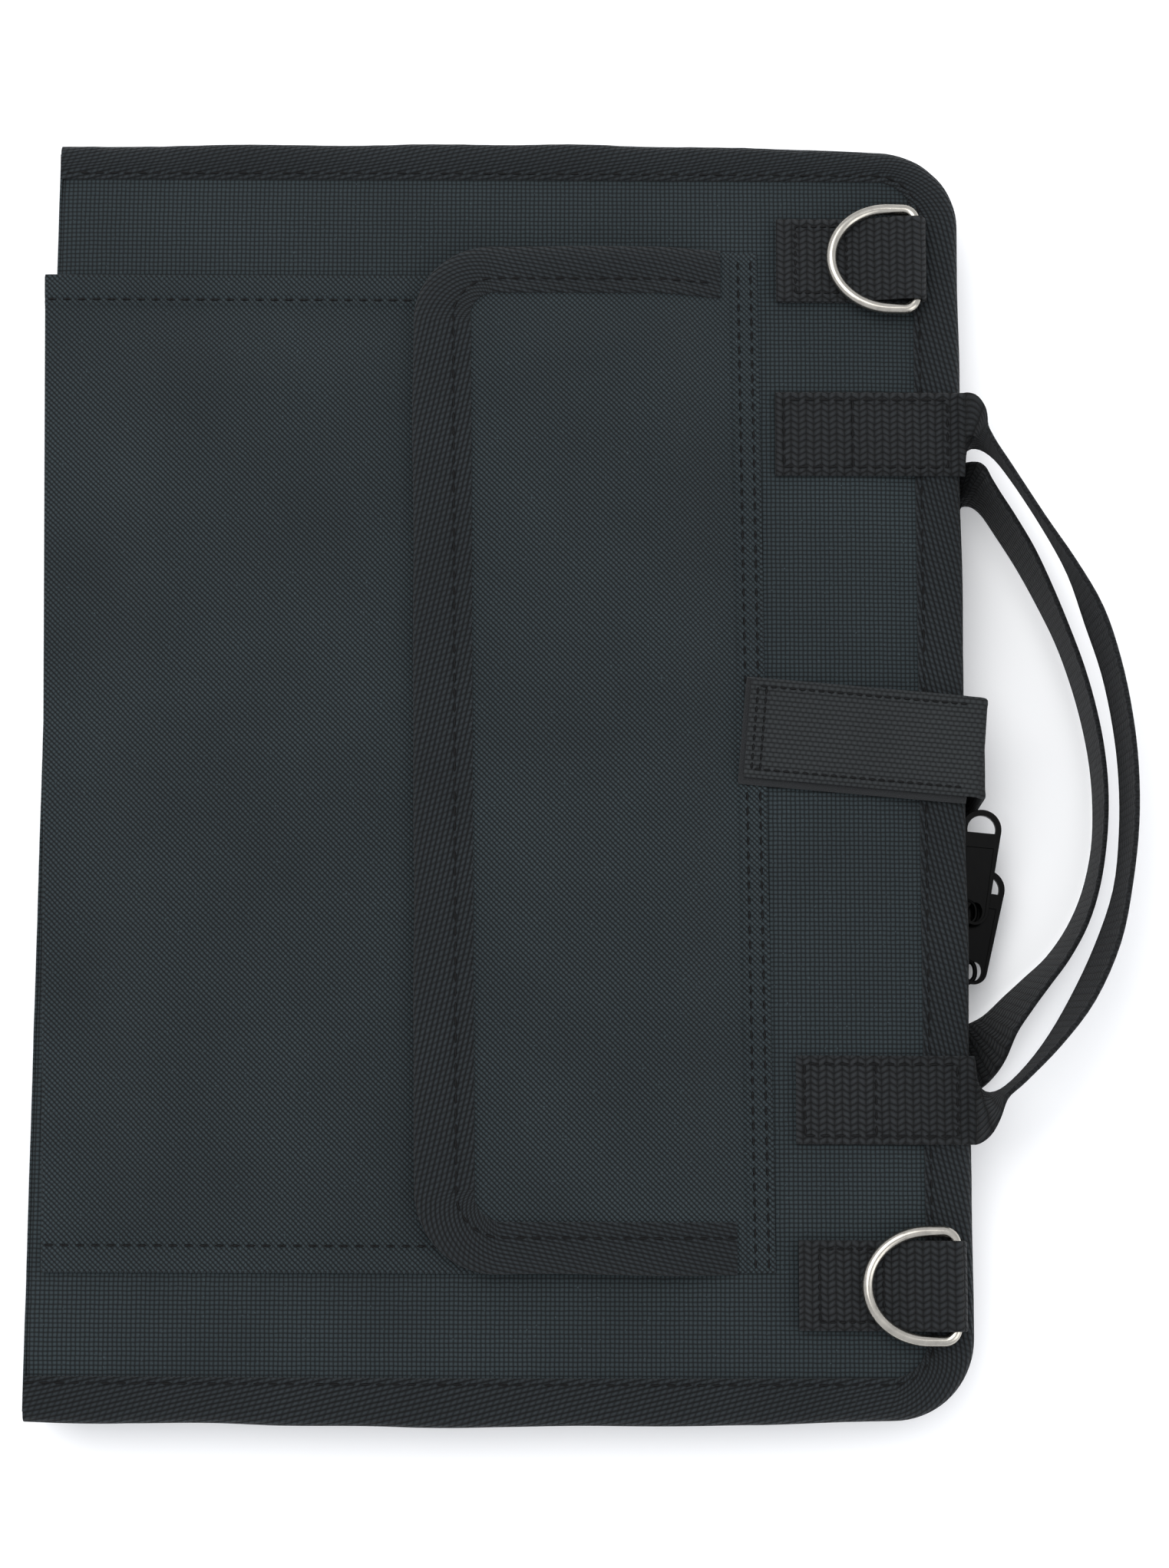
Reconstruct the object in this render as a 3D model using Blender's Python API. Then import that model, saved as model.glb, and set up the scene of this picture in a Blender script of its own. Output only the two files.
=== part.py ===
"""Fold-over drumstick bag, closed and lying on its back cover.

Two stiffened fabric covers are joined along one long side by a spine and close with a coil zip
round the other three sides. The front cover carries a pocket with a flap, two D-rings in webbing
loops and one carrying handle. The back cover carries the other handle and the closure strap, which
wraps over the open edge and presses on to the front cover with hook and loop.

+X runs from the spine to the handles, +Y along the sticks, +Z up from the back cover.
Sizes are in millimetres and become metres where a mesh is made.
"""

import math
from collections import namedtuple

import bmesh
import bpy
from mathutils import Vector

MM = 0.001
GAP = 0.3

# Covers
HALF_WIDTH = 165.0
HALF_LENGTH = 229.0
CORNER_RADIUS = 28.0
CORNER_STEPS = 6
COVER_THICKNESS = 6.0
BACK_EDGE_RISE = 3.4
FRONT_EDGE_DROP = 1.4
FRONT_BOTTOM = 28.0
FRONT_TOP = FRONT_BOTTOM + COVER_THICKNESS
BINDING_WIDTHS = (16.5, 14.4, 11.7)
BINDING_TURN_IN = 4.5
BINDING_THICKNESS = 1.0
BACK_BINDING_LEG = 0.8

# Zip wall between the covers
TAPE_INSET = 5.0
TAPE_THICKNESS = 1.0
COIL_OUTER_INSET = 2.7
COIL_HEIGHT = 1.6
COIL_GAP = 1.3
ZIP_MIDDLE = 17.15
LINING_INSET = 7.5
LINING_THICKNESS = 0.8
SPINE_THICKNESS = 3.0
SPINE_HALF_LENGTH = 224.0

# Joint places on the covers
BACK_FOLD = (-HALF_WIDTH, 0.0, COVER_THICKNESS + GAP / 2)
FRONT_FOLD = (-HALF_WIDTH, 0.0, FRONT_BOTTOM - GAP / 2)

# Stick pockets inside
STICK_POCKET_HALF_WIDTH = 150.0
STICK_POCKET_BOTTOM = -212.0
STICK_POCKET_ROOM = 4.8
CLOTH = 0.9

# Outer pocket and flap
PATCH_SKEW = -0.0131
POCKET_LEFT = -164.0
POCKET_LEFT_SKEW = -0.0265
POCKET_MOUTH = 52.0
POCKET_LOW, POCKET_HIGH = -179.0, 180.0
POCKET_HEM = 9.0
POCKET_ROOM = 4.6
POCKET_RISE = 34.0
FLAP_LINE = 84.3
FLAP_EDGE = -30.7
FLAP_LOW, FLAP_HIGH = -178.4, 189.0
FLAP_BINDING_WIDTHS = (20.0, 17.0, 17.0)
FLAP_RISE = 28.0
FLAP_MARKS = (7.0, 11.0, 15.0, 19.0, 23.0, 28.0)
FLAP_CLEAR = 3.4
FLAP_HEM_WIDTH = 9.0
FLAP_HINGE = (FLAP_LINE, 0.0, FRONT_TOP + GAP + CLOTH)
PATCH_THICKNESS = 0.7

# Webbing
WEBBING_THICKNESS = 1.8
HANDLE_WIDTH = 31.0
TAB_END = 166.6
HANDLE_START = 168.2
HANDLE_AXIS_X = 167.9
HANDLE_Z = FRONT_TOP + GAP + WEBBING_THICKNESS / 2
REAR_HANDLE_Z = 1.0
TAB_RECESS = 2.2
TAB_SEAT_ROOM = 1.0
FRONT_TABS = {"high": (97.7, 121.4), "low": (103.5, -118.8)}
REAR_TABS = {"high": (100.0, 106.0), "low": (100.0, -105.0)}

# D-rings
RING_WIRE_RADIUS = 2.0
RING_HALF_HEIGHT = 18.75
RING_DEPTH = 31.0
RING_CORNER = 3.0
RING_LEAN = math.radians(4.3)
RING_TAB_WIDTH = 31.0
RING_TAB_THICKNESS = 1.6
EYE_RADIUS = RING_WIRE_RADIUS + 0.35 + RING_TAB_THICKNESS / 2

# Closure strap
STRAP_ANGLE = math.radians(4.9)
STRAP_WIDTH = 36.0
STRAP_LENGTH = 84.2
STRAP_CORNER = (170.9, 6.0, 38.0)
STRAP_SEWN_TO = 110.0
HOOK_WIDTH = 38.0
HOOK_REACH = (4.0, 84.4)

# Zip sliders and pulls: slider middle Y, height of the bail and pull angle outwards
SLIDERS = {
    "upper": (-54.0, 19.3, math.radians(5.4)),
    "lower": (-75.0, 14.2, math.radians(8.4)),
}
SLIDER_LENGTH = 13.0
SLIDER_HALF_HEIGHT = 6.2
BAIL_X = 169.4
BAIL_AHEAD = 3.0
BAIL_SPREAD = 2.8
BAIL_RADIUS = 0.9
PULL_NARROW = 4.7
PULL_WIDE = 7.2
PULL_REACH = 30.0
PULL_THICKNESS = 2.2
PULL_HOLE = 3.0

COLOURS = {
    "oxford_fabric": ((0.020, 0.024, 0.026), 0.85, 0.0),
    "lining_fabric": ((0.030, 0.031, 0.033), 0.80, 0.0),
    "binding_tape": ((0.012, 0.013, 0.014), 0.78, 0.0),
    "webbing": ((0.010, 0.010, 0.011), 0.62, 0.0),
    "hook_and_loop": ((0.014, 0.014, 0.015), 0.95, 0.0),
    "zip_coil": ((0.015, 0.015, 0.016), 0.45, 0.0),
    "black_metal": ((0.010, 0.010, 0.010), 0.25, 0.6),
    "nickel": ((0.70, 0.68, 0.64), 0.22, 1.0),
}

Outline = namedtuple("Outline", "x_open x_edge y_low y_high radius skew marks")
COVER = Outline(-HALF_WIDTH, HALF_WIDTH, -HALF_LENGTH, HALF_LENGTH, CORNER_RADIUS, 0.0, ())
FLAP = Outline(FLAP_LINE - GAP, FLAP_EDGE, FLAP_LOW, FLAP_HIGH, CORNER_RADIUS, PATCH_SKEW, FLAP_MARKS)


# --- Making objects -----------------------------------------------------------------------------

def clear_scene():
    """Remove every object that the file opened with."""
    for thing in list(bpy.data.objects):
        bpy.data.objects.remove(thing, do_unlink=True)


def make_material(name, colour):
    """A Principled material for one piece."""
    base, roughness, metallic = COLOURS[colour]
    material = bpy.data.materials.new(name)
    material.use_nodes = True
    shader = material.node_tree.nodes["Principled BSDF"]
    shader.inputs["Base Color"].default_value = (*base, 1.0)
    shader.inputs["Roughness"].default_value = roughness
    shader.inputs["Metallic"].default_value = metallic
    return material


def add_piece(name, colour, vertices, faces, origin=(0.0, 0.0, 0.0), smooth=False):
    """One closed body, with its origin on its joint's axis and its faces pointing out."""
    start = Vector(origin)
    mesh = bpy.data.meshes.new(name)
    mesh.from_pydata([(Vector(v) - start) * MM for v in vertices], [], faces)
    work = bmesh.new()
    work.from_mesh(mesh)
    bmesh.ops.recalc_face_normals(work, faces=work.faces)
    work.to_mesh(mesh)
    work.free()
    if smooth:
        mesh.shade_smooth()
        mesh.set_sharp_from_angle(angle=math.radians(40))
    piece = bpy.data.objects.new(name, mesh)
    piece.location = start * MM
    piece.data.materials.append(make_material(name, colour))
    bpy.context.scene.collection.objects.link(piece)
    return piece


def loft(rings, closed=False):
    """Vertices and faces of a body skinned over rings of equal size; closed joins last to first."""
    size = len(rings[0])
    vertices = [point for ring in rings for point in ring]
    faces = []
    spans = len(rings) if closed else len(rings) - 1
    for span in range(spans):
        here = span * size
        there = (span + 1) % len(rings) * size
        for side in range(size):
            after = (side + 1) % size
            faces.append((here + side, here + after, there + after, there + side))
    if not closed:
        faces.append(tuple(range(size)))
        faces.append(tuple(range(len(vertices) - size, len(vertices))))
    return vertices, faces


def slab(grid, thickness):
    """Vertices and faces of a sheet: grid[row][column] holds its under side."""
    rows = len(grid)
    columns = len(grid[0])
    under = [point for row in grid for point in row]
    over = [(x, y, z + thickness) for x, y, z in under]
    count = len(under)
    faces = []
    for row in range(rows - 1):
        for column in range(columns - 1):
            first = row * columns + column
            quad = (first, first + 1, first + columns + 1, first + columns)
            faces.append(quad)
            faces.append(tuple(count + corner for corner in reversed(quad)))
    rim = list(range(columns))
    rim += [row * columns + columns - 1 for row in range(1, rows)]
    rim += [(rows - 1) * columns + column for column in range(columns - 2, -1, -1)]
    rim += [row * columns for row in range(rows - 2, 0, -1)]
    for place, first in enumerate(rim):
        second = rim[(place + 1) % len(rim)]
        faces.append((first, second, count + second, count + first))
    return under + over, faces


def block(low, high):
    """Vertices and faces of a box."""
    (x0, y0, z0), (x1, y1, z1) = low, high
    rings = [[(x, y0, z0), (x, y1, z0), (x, y1, z1), (x, y0, z1)] for x in (x0, x1)]
    return loft(rings)


def ribbon(stations, thickness):
    """Webbing through stations of (middle, half width vector)."""
    rings = []
    last = len(stations) - 1
    for place, (middle, half) in enumerate(stations):
        before = stations[max(place - 1, 0)][0]
        after = stations[min(place + 1, last)][0]
        face = (after - before).cross(half).normalized() * thickness / 2
        corners = (middle - half - face, middle + half - face, middle + half + face, middle - half + face)
        rings.append([tuple(corner) for corner in corners])
    return loft(rings)


def tube(path, radius, sides=8, closed=False):
    """A round wire along a path of points, which may be a closed loop."""
    rings = []
    last = len(path) - 1
    side_way = None
    for place, point in enumerate(path):
        before = path[place - 1] if closed or place else path[0]
        after = path[(place + 1) % len(path)] if closed or place < last else path[last]
        along = (after - before).normalized()
        if side_way is None:
            side_way = along.orthogonal()
        side_way = (side_way - along * side_way.dot(along)).normalized()
        up_way = along.cross(side_way)
        ring = []
        for side in range(sides):
            angle = math.tau * side / sides
            ring.append(tuple(point + (side_way * math.cos(angle) + up_way * math.sin(angle)) * radius))
        rings.append(ring)
    return loft(rings, closed)


def combine(piece, other, operation):
    """Join another body to a piece or cut it out, and take the other one away."""
    modifier = piece.modifiers.new(operation.title(), "BOOLEAN")
    modifier.operation = operation
    modifier.solver = "EXACT"
    modifier.object = other
    other.hide_render = True
    other.display_type = "WIRE"


# --- Outlines and surfaces ----------------------------------------------------------------------

def three_sides(outline, insets):
    """Points round the three bound sides of an outline, inset by (open end, edge, low, high)."""
    at_open, at_edge, at_low, at_high = insets
    way = math.copysign(1.0, outline.x_edge - outline.x_open)
    starts = [outline.x_open + way * reach for reach in (at_open, *outline.marks)]
    x_turn = outline.x_edge - way * outline.radius
    points = [(x, outline.y_low + at_low) for x in starts]
    corners = ((outline.y_low + outline.radius, at_low, -90.0), (outline.y_high - outline.radius, at_high, 0.0))
    for y_turn, at_end, first in corners:
        for step in range(CORNER_STEPS + 1):
            angle = math.radians(first + 90.0 * step / CORNER_STEPS)
            x = x_turn + way * (outline.radius - at_edge) * math.cos(angle)
            y = y_turn + (outline.radius - at_end) * math.sin(angle)
            points.append((x, y))
    points += [(x, outline.y_high - at_high) for x in reversed(starts)]
    return [(x + outline.skew * y, y) for x, y in points]


def around(inset, at_open=0.0):
    """The same inset on every bound side."""
    return (at_open, inset, inset, inset)


def inside_binding(extra, widths=BINDING_WIDTHS, at_open=0.0):
    """An inset that follows the binding's own width on each side."""
    edge, low, high = widths
    return (at_open, edge + extra, low + extra, high + extra)


def panel(name, colour, levels, origin=(0.0, 0.0, 0.0)):
    """A flat body with the covers' outline, from levels of (insets, z)."""
    rings = [[(x, y, z) for x, y in three_sides(COVER, insets)] for insets, z in levels]
    vertices, faces = loft(rings)
    return add_piece(name, colour, vertices, faces, origin)


def edge_strip(name, colour, outline, profile, origin=(0.0, 0.0, 0.0), surface=None):
    """A strip round three sides, whose section is a profile of (insets, z above the surface)."""
    paths = [(three_sides(outline, insets), z) for insets, z in profile]
    rings = []
    for station in range(len(paths[0][0])):
        ring = []
        for path, z in paths:
            x, y = path[station]
            rise = surface(x, y) if surface else 0.0
            ring.append((x, y, rise + z))
        rings.append(ring)
    vertices, faces = loft(rings)
    return add_piece(name, colour, vertices, faces, origin)


def ease(distance, width):
    """A smooth ramp from 0 to 1 over the width."""
    share = min(max(distance / width, 0.0), 1.0)
    return share * share * (3.0 - 2.0 * share)


def pocket_swell(y):
    """How full the pocket is along Y, from 0 in its hems to 1."""
    nearest = min(POCKET_HIGH - y, y - POCKET_LOW)
    return ease(nearest - POCKET_HEM, POCKET_RISE)


def pocket_under(x, y):
    """Under side of the pocket cloth."""
    left = POCKET_LEFT + POCKET_LEFT_SKEW * y
    swell = ease(x - left - POCKET_HEM, POCKET_RISE) * pocket_swell(y)
    return FRONT_TOP + GAP + POCKET_ROOM * swell


def flap_under(x, y):
    """Under side of the flap, which lies over the pocket from its sewn line."""
    line = FLAP_LINE + PATCH_SKEW * y
    return FRONT_TOP + GAP + (FLAP_CLEAR + POCKET_ROOM) * ease(line - GAP - x, FLAP_RISE)


def spread(low, high, near):
    """Grid lines that are close at both ends and open in the middle."""
    middle = (low + high) / 2
    return [low + d for d in near] + [middle] + [high - d for d in reversed(near)]


def smooth_route(points, parts):
    """Values read off a smooth curve through the points (Catmull-Rom), parts to a span."""
    padded = [points[0], *points, points[-1]]
    route = []
    for span in range(len(points) - 1):
        a, b, c, d = (Vector(p) for p in padded[span:span + 4])
        for part in range(parts):
            t = part / parts
            route.append(0.5 * (2 * b + (c - a) * t + (2 * a - 5 * b + 4 * c - d) * t * t
                                + (3 * b - a - 3 * c + d) * t * t * t))
    route.append(Vector(points[-1]))
    return route


# --- Covers, spine and zip ----------------------------------------------------------------------

def make_back_cover():
    """The stiffened back cover, thinner where it is bound, with flat seats for the webbing."""
    levels = (
        (inside_binding(6.0, at_open=2.0), 0.0),
        (inside_binding(0.4, at_open=1.0), BACK_EDGE_RISE),
        (around(1.3), BACK_EDGE_RISE),
        (around(1.3), COVER_THICKNESS),
    )
    cover = panel("back_cover", "oxford_fabric", levels)
    seats = [("strap_seat", STRAP_SEWN_TO - TAB_SEAT_ROOM, -22.0, 23.0)]
    reach = HANDLE_WIDTH / 2 + TAB_SEAT_ROOM
    for end, (x_start, y) in REAR_TABS.items():
        seats.append((f"rear_tab_seat_{end}", x_start - TAB_SEAT_ROOM, y - reach, y + reach))
    for name, x_start, y_low, y_high in seats:
        vertices, faces = block((x_start, y_low, -1.0), (HALF_WIDTH + 5.0, y_high, TAB_RECESS))
        combine(cover, add_piece(name, "oxford_fabric", vertices, faces), "DIFFERENCE")


def make_front_cover():
    """The stiffened front cover, rebated for its binding."""
    levels = (
        (around(1.3), FRONT_BOTTOM),
        (around(1.3), FRONT_TOP - FRONT_EDGE_DROP),
        (inside_binding(0.3, at_open=0.8), FRONT_TOP - FRONT_EDGE_DROP),
        (inside_binding(0.3, at_open=1.5), FRONT_TOP),
    )
    panel("front_cover", "oxford_fabric", levels, FRONT_FOLD)


def binding_profile(outer, leg, inner):
    """C-shaped section: outer is the wide leg's outside z, inner the short leg's outside z."""
    way = math.copysign(1.0, outer - inner)
    ends = 0.3
    return (
        (inside_binding(0.0, at_open=ends), outer),
        (around(0.0, ends), outer),
        (around(0.0, ends), inner),
        (around(BINDING_TURN_IN, ends), inner),
        (around(BINDING_TURN_IN, ends), inner + way * BINDING_THICKNESS),
        (around(BINDING_THICKNESS, ends), inner + way * BINDING_THICKNESS),
        (around(BINDING_THICKNESS, ends), outer - way * leg),
        (inside_binding(0.0, at_open=ends), outer - way * leg),
    )


def make_bindings():
    """Twill tape folded over the edge of each cover."""
    back = binding_profile(BACK_EDGE_RISE - GAP - BACK_BINDING_LEG, BACK_BINDING_LEG,
                           COVER_THICKNESS + GAP + BINDING_THICKNESS)
    edge_strip("back_binding", "binding_tape", COVER, back)
    front = binding_profile(FRONT_TOP - 0.1, BINDING_THICKNESS, FRONT_BOTTOM - GAP - BINDING_THICKNESS)
    edge_strip("front_binding", "binding_tape", COVER, front, FRONT_FOLD)


def strip_section(outer, thickness, low, high):
    """Rectangular section of a wall that follows the covers' outline."""
    ends = 4.5
    return (
        (around(outer, ends), low),
        (around(outer, ends), high),
        (around(outer + thickness, ends), high),
        (around(outer + thickness, ends), low),
    )


def make_zip():
    """The two zip tapes that wall in the bag, each with its coil outside along its edge."""
    coil_thickness = TAPE_INSET - GAP - COIL_OUTER_INSET
    low_edge = ZIP_MIDDLE - COIL_GAP / 2
    high_edge = ZIP_MIDDLE + COIL_GAP / 2
    low_tape = strip_section(TAPE_INSET, TAPE_THICKNESS, COVER_THICKNESS + GAP, low_edge)
    low_coil = strip_section(COIL_OUTER_INSET, coil_thickness, low_edge - COIL_HEIGHT, low_edge)
    high_tape = strip_section(TAPE_INSET, TAPE_THICKNESS, high_edge, FRONT_BOTTOM - GAP)
    high_coil = strip_section(COIL_OUTER_INSET, coil_thickness, high_edge, high_edge + COIL_HEIGHT)
    edge_strip("back_zip_tape", "binding_tape", COVER, low_tape)
    edge_strip("back_zip_coil", "zip_coil", COVER, low_coil)
    edge_strip("front_zip_tape", "binding_tape", COVER, high_tape, FRONT_FOLD)
    edge_strip("front_zip_coil", "zip_coil", COVER, high_coil, FRONT_FOLD)


def make_spine():
    """The spine wall and its lining."""
    low = COVER_THICKNESS + GAP
    high = FRONT_BOTTOM - GAP
    wall = block((-HALF_WIDTH, -SPINE_HALF_LENGTH, low), (-HALF_WIDTH + SPINE_THICKNESS, SPINE_HALF_LENGTH, high))
    add_piece("spine_panel", "oxford_fabric", *wall, BACK_FOLD)
    start = -HALF_WIDTH + SPINE_THICKNESS + GAP
    lining = block((start, -SPINE_HALF_LENGTH + 4.0, low + 1.1),
                   (start + LINING_THICKNESS, SPINE_HALF_LENGTH - 4.0, high - 1.1))
    add_piece("spine_lining", "lining_fabric", *lining, BACK_FOLD)


def make_linings():
    """Lining cloth on the inner face of each cover."""
    inset = around(LINING_INSET, 5.0)
    low = COVER_THICKNESS + GAP
    high = FRONT_BOTTOM - GAP
    panel("back_lining", "lining_fabric", ((inset, low), (inset, low + LINING_THICKNESS)))
    panel("front_lining", "lining_fabric", ((inset, high - LINING_THICKNESS), (inset, high)), FRONT_FOLD)


def stick_pocket(name, compartments, mouth, face, way, origin=(0.0, 0.0, 0.0)):
    """A pocket sewn to a lining in compartments, open at +Y; face is the lining's z."""
    width = 2 * STICK_POCKET_HALF_WIDTH / compartments
    columns = []
    for compartment in range(compartments):
        start = -STICK_POCKET_HALF_WIDTH + compartment * width
        columns += [(start, 0.0), (start + 12.0, 1.0), (start + width - 12.0, 1.0)]
    columns.append((STICK_POCKET_HALF_WIDTH, 0.0))
    rows = ((STICK_POCKET_BOTTOM, 0.0), (STICK_POCKET_BOTTOM + 20.0, 1.0), (mouth, 1.0))
    grid = []
    for y, full in rows:
        row = []
        for x, room in columns:
            away = GAP + STICK_POCKET_ROOM * room * full
            low = face + away if way > 0 else face - away - CLOTH
            row.append((x, y, low))
        grid.append(row)
    vertices, faces = slab(grid, CLOTH)
    add_piece(name, "lining_fabric", vertices, faces, origin)


def make_stick_pockets():
    """Three stick compartments on the back cover and two on the front."""
    back_face = COVER_THICKNESS + GAP + LINING_THICKNESS
    front_face = FRONT_BOTTOM - GAP - LINING_THICKNESS
    stick_pocket("back_stick_pocket", 3, 120.0, back_face, 1.0)
    stick_pocket("front_stick_pocket", 2, 60.0, front_face, -1.0, FRONT_FOLD)


def make_slider(label, middle, bail_height):
    """A zip slider: two plates joined by a post between the coils, and a bail for the pull."""
    name = f"{label}_zip_slider"
    low = middle - SLIDER_LENGTH / 2
    high = middle + SLIDER_LENGTH / 2
    bottom = ZIP_MIDDLE - SLIDER_HALF_HEIGHT
    top = ZIP_MIDDLE + SLIDER_HALF_HEIGHT
    origin = (BAIL_X, middle + BAIL_AHEAD, bail_height)
    coil_bottom = ZIP_MIDDLE - COIL_GAP / 2 - COIL_HEIGHT
    outside = HALF_WIDTH - COIL_OUTER_INSET + 0.4
    parts = (
        block((outside, low, bottom), (outside + 1.5, high, top)),
        block((HALF_WIDTH - TAPE_INSET - TAPE_THICKNESS - 1.9, low, bottom + 1.5),
              (HALF_WIDTH - TAPE_INSET - TAPE_THICKNESS - 0.5, high, top - 1.5)),
        block((HALF_WIDTH - TAPE_INSET - TAPE_THICKNESS - 1.2, middle - 3.0, ZIP_MIDDLE - 0.35),
              (outside + 0.8, middle + 3.0, ZIP_MIDDLE + 0.35)),
        block((HALF_WIDTH - TAPE_INSET + 0.4, low, coil_bottom - 1.8),
              (outside + 0.8, high, coil_bottom - 0.4)),
    )
    bail_y = middle + BAIL_AHEAD
    points = (
        (outside + 0.6, bail_y + 3.4, bail_height + BAIL_SPREAD),
        (outside + 4.0, bail_y + 3.0, bail_height + BAIL_SPREAD),
        (BAIL_X - 0.8, bail_y + 1.7, bail_height + BAIL_SPREAD - 0.7),
        (BAIL_X, bail_y, bail_height),
        (BAIL_X - 0.8, bail_y - 1.7, bail_height - BAIL_SPREAD + 0.7),
        (outside + 4.0, bail_y - 3.0, bail_height - BAIL_SPREAD),
        (outside + 0.6, bail_y - 3.4, bail_height - BAIL_SPREAD),
    )
    slider = add_piece(name, "black_metal", *parts[0], origin)
    for place, shape in enumerate(parts[1:]):
        combine(slider, add_piece(f"{name}_part_{place}", "black_metal", *shape), "UNION")
    wire = tube([Vector(point) for point in points], BAIL_RADIUS, 6)
    combine(slider, add_piece(f"{name}_bail", "black_metal", *wire), "UNION")


def make_pull(label, middle, bail_height, angle):
    """A tapered zip pull lying flat, with a round hole on the bail and a window in its wide end."""
    along = Vector((math.sin(angle), math.cos(angle), 0.0))
    across = Vector((math.cos(angle), -math.sin(angle), 0.0))
    pivot = Vector((BAIL_X, middle + BAIL_AHEAD, bail_height))
    lean = math.degrees(math.asin((PULL_WIDE - PULL_NARROW) / PULL_REACH))

    def prism(points, half_height):
        rings = []
        for z in (-half_height, half_height):
            rings.append([tuple(pivot + across * x + along * y + Vector((0, 0, z))) for x, y in points])
        return loft(rings)

    def arc(centre, radius, first, last, steps):
        turns = [math.radians(first + (last - first) * step / steps) for step in range(steps + 1)]
        return [(radius * math.cos(turn), centre + radius * math.sin(turn)) for turn in turns]

    half = PULL_THICKNESS / 2
    outline = arc(PULL_REACH, PULL_WIDE, -lean, 180.0 + lean, 10)
    outline += arc(0.0, PULL_NARROW, 180.0 + lean, 360.0 - lean, 8)
    pull = add_piece(f"{label}_zip_pull", "black_metal", *prism(outline, half), tuple(pivot), smooth=True)
    hole = arc(0.0, PULL_HOLE, 0.0, 330.0, 11)
    window = arc(PULL_REACH, PULL_WIDE - 2.0, -20.0, 200.0, 10)
    for label_part, shape in (("hole", hole), ("window", window)):
        cutter = add_piece(f"{label}_zip_pull_{label_part}", "black_metal", *prism(shape, half + 1.0))
        combine(pull, cutter, "DIFFERENCE")


def make_sliders():
    """Two sliders, each with its pull."""
    for label, (middle, bail_height, angle) in SLIDERS.items():
        make_slider(label, middle, bail_height)
        make_pull(label, middle, bail_height, angle)


# --- Outer pocket and flap ----------------------------------------------------------------------

def make_pocket():
    """The pocket cloth on the front cover, sewn on three sides and open towards the handles."""
    grid = []
    for y in spread(POCKET_LOW, POCKET_HIGH, (0.0, POCKET_HEM, 20.0, 32.0, 46.0)):
        left = POCKET_LEFT + POCKET_LEFT_SKEW * y
        mouth = POCKET_MOUTH + PATCH_SKEW * y
        width = mouth - left
        columns = [left + d for d in (0.0, POCKET_HEM, 20.0, 32.0, 46.0, width * 0.6, width)]
        grid.append([(x, y, pocket_under(x, y)) for x in columns])
    add_piece("pocket_panel", "oxford_fabric", *slab(grid, 1.0), FRONT_FOLD)


def flap_grid():
    """Grid of the flap's under side, with its two free corners rounded."""
    grid = []
    width = FLAP_LINE - GAP - FLAP_EDGE
    drops = (0.0, 3.0, 9.0, 18.0, CORNER_RADIUS, 60.0, *(width - mark for mark in reversed(FLAP_MARKS)), width)
    for drop in drops:
        inside = max(CORNER_RADIUS - drop, 0.0)
        short = CORNER_RADIUS - math.sqrt(CORNER_RADIUS ** 2 - inside ** 2)
        row = []
        for y in spread(FLAP_LOW, FLAP_HIGH, (0.0, 9.0, 20.0, 32.0, 46.0)):
            reach = FLAP_HIGH if y > 0 else FLAP_LOW
            pulled = y * (abs(reach) - short) / abs(reach)
            x = FLAP_EDGE + drop + PATCH_SKEW * pulled
            row.append((x, pulled, flap_under(x, pulled)))
        grid.append(row)
    return grid


def make_flap():
    """The pocket flap with its binding, and the hem that sews it to the front cover."""
    add_piece("pocket_flap", "oxford_fabric", *slab(flap_grid(), CLOTH), FLAP_HINGE)
    ends = 4.0
    over = CLOTH + GAP
    outside = around(-1.3, ends)
    inside = inside_binding(0.0, FLAP_BINDING_WIDTHS, ends)
    profile = (
        (inside, over), (inside, over + 0.8), (outside, over + 0.8),
        (outside, 0.0), (around(-0.5, ends), 0.0), (around(-0.5, ends), over),
    )
    edge_strip("pocket_flap_binding", "binding_tape", FLAP, profile, FLAP_HINGE, flap_under)
    grid = []
    for y in (-182.0, 0.0, 186.0):
        line = FLAP_LINE + PATCH_SKEW * y
        columns = (line + GAP, line + FLAP_HEM_WIDTH)
        grid.append([(x, y, FRONT_TOP + GAP) for x in columns])
    add_piece("pocket_flap_hem", "oxford_fabric", *slab(grid, 1.0), FRONT_FOLD)


def make_pocket_fastener():
    """Hook and loop between the pocket and its flap."""
    pocket_face = FRONT_TOP + GAP + POCKET_ROOM + 1.0
    loop_low = pocket_face + GAP
    hook_low = loop_low + PATCH_THICKNESS + GAP
    loop = block((-9.0, -72.0, loop_low), (11.0, 72.0, loop_low + PATCH_THICKNESS))
    hook = block((-9.0, -70.0, hook_low), (11.0, 70.0, hook_low + PATCH_THICKNESS))
    add_piece("pocket_loop_patch", "hook_and_loop", *loop, FRONT_FOLD)
    add_piece("pocket_hook_patch", "hook_and_loop", *hook, FLAP_HINGE)


# --- Webbing and rings --------------------------------------------------------------------------

def make_handle_tabs():
    """The sewn ends of both handles."""
    half = WEBBING_THICKNESS / 2
    side = HANDLE_WIDTH / 2
    rows = (("front", FRONT_TABS, HANDLE_Z, FRONT_FOLD), ("rear", REAR_TABS, REAR_HANDLE_Z, (0.0, 0.0, 0.0)))
    for face, tabs, z, origin in rows:
        for end, (x_start, y) in tabs.items():
            shape = block((x_start, y - side, z - half), (TAB_END, y + side, z + half))
            add_piece(f"{face}_handle_tab_{end}", "webbing", *shape, origin)


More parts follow.
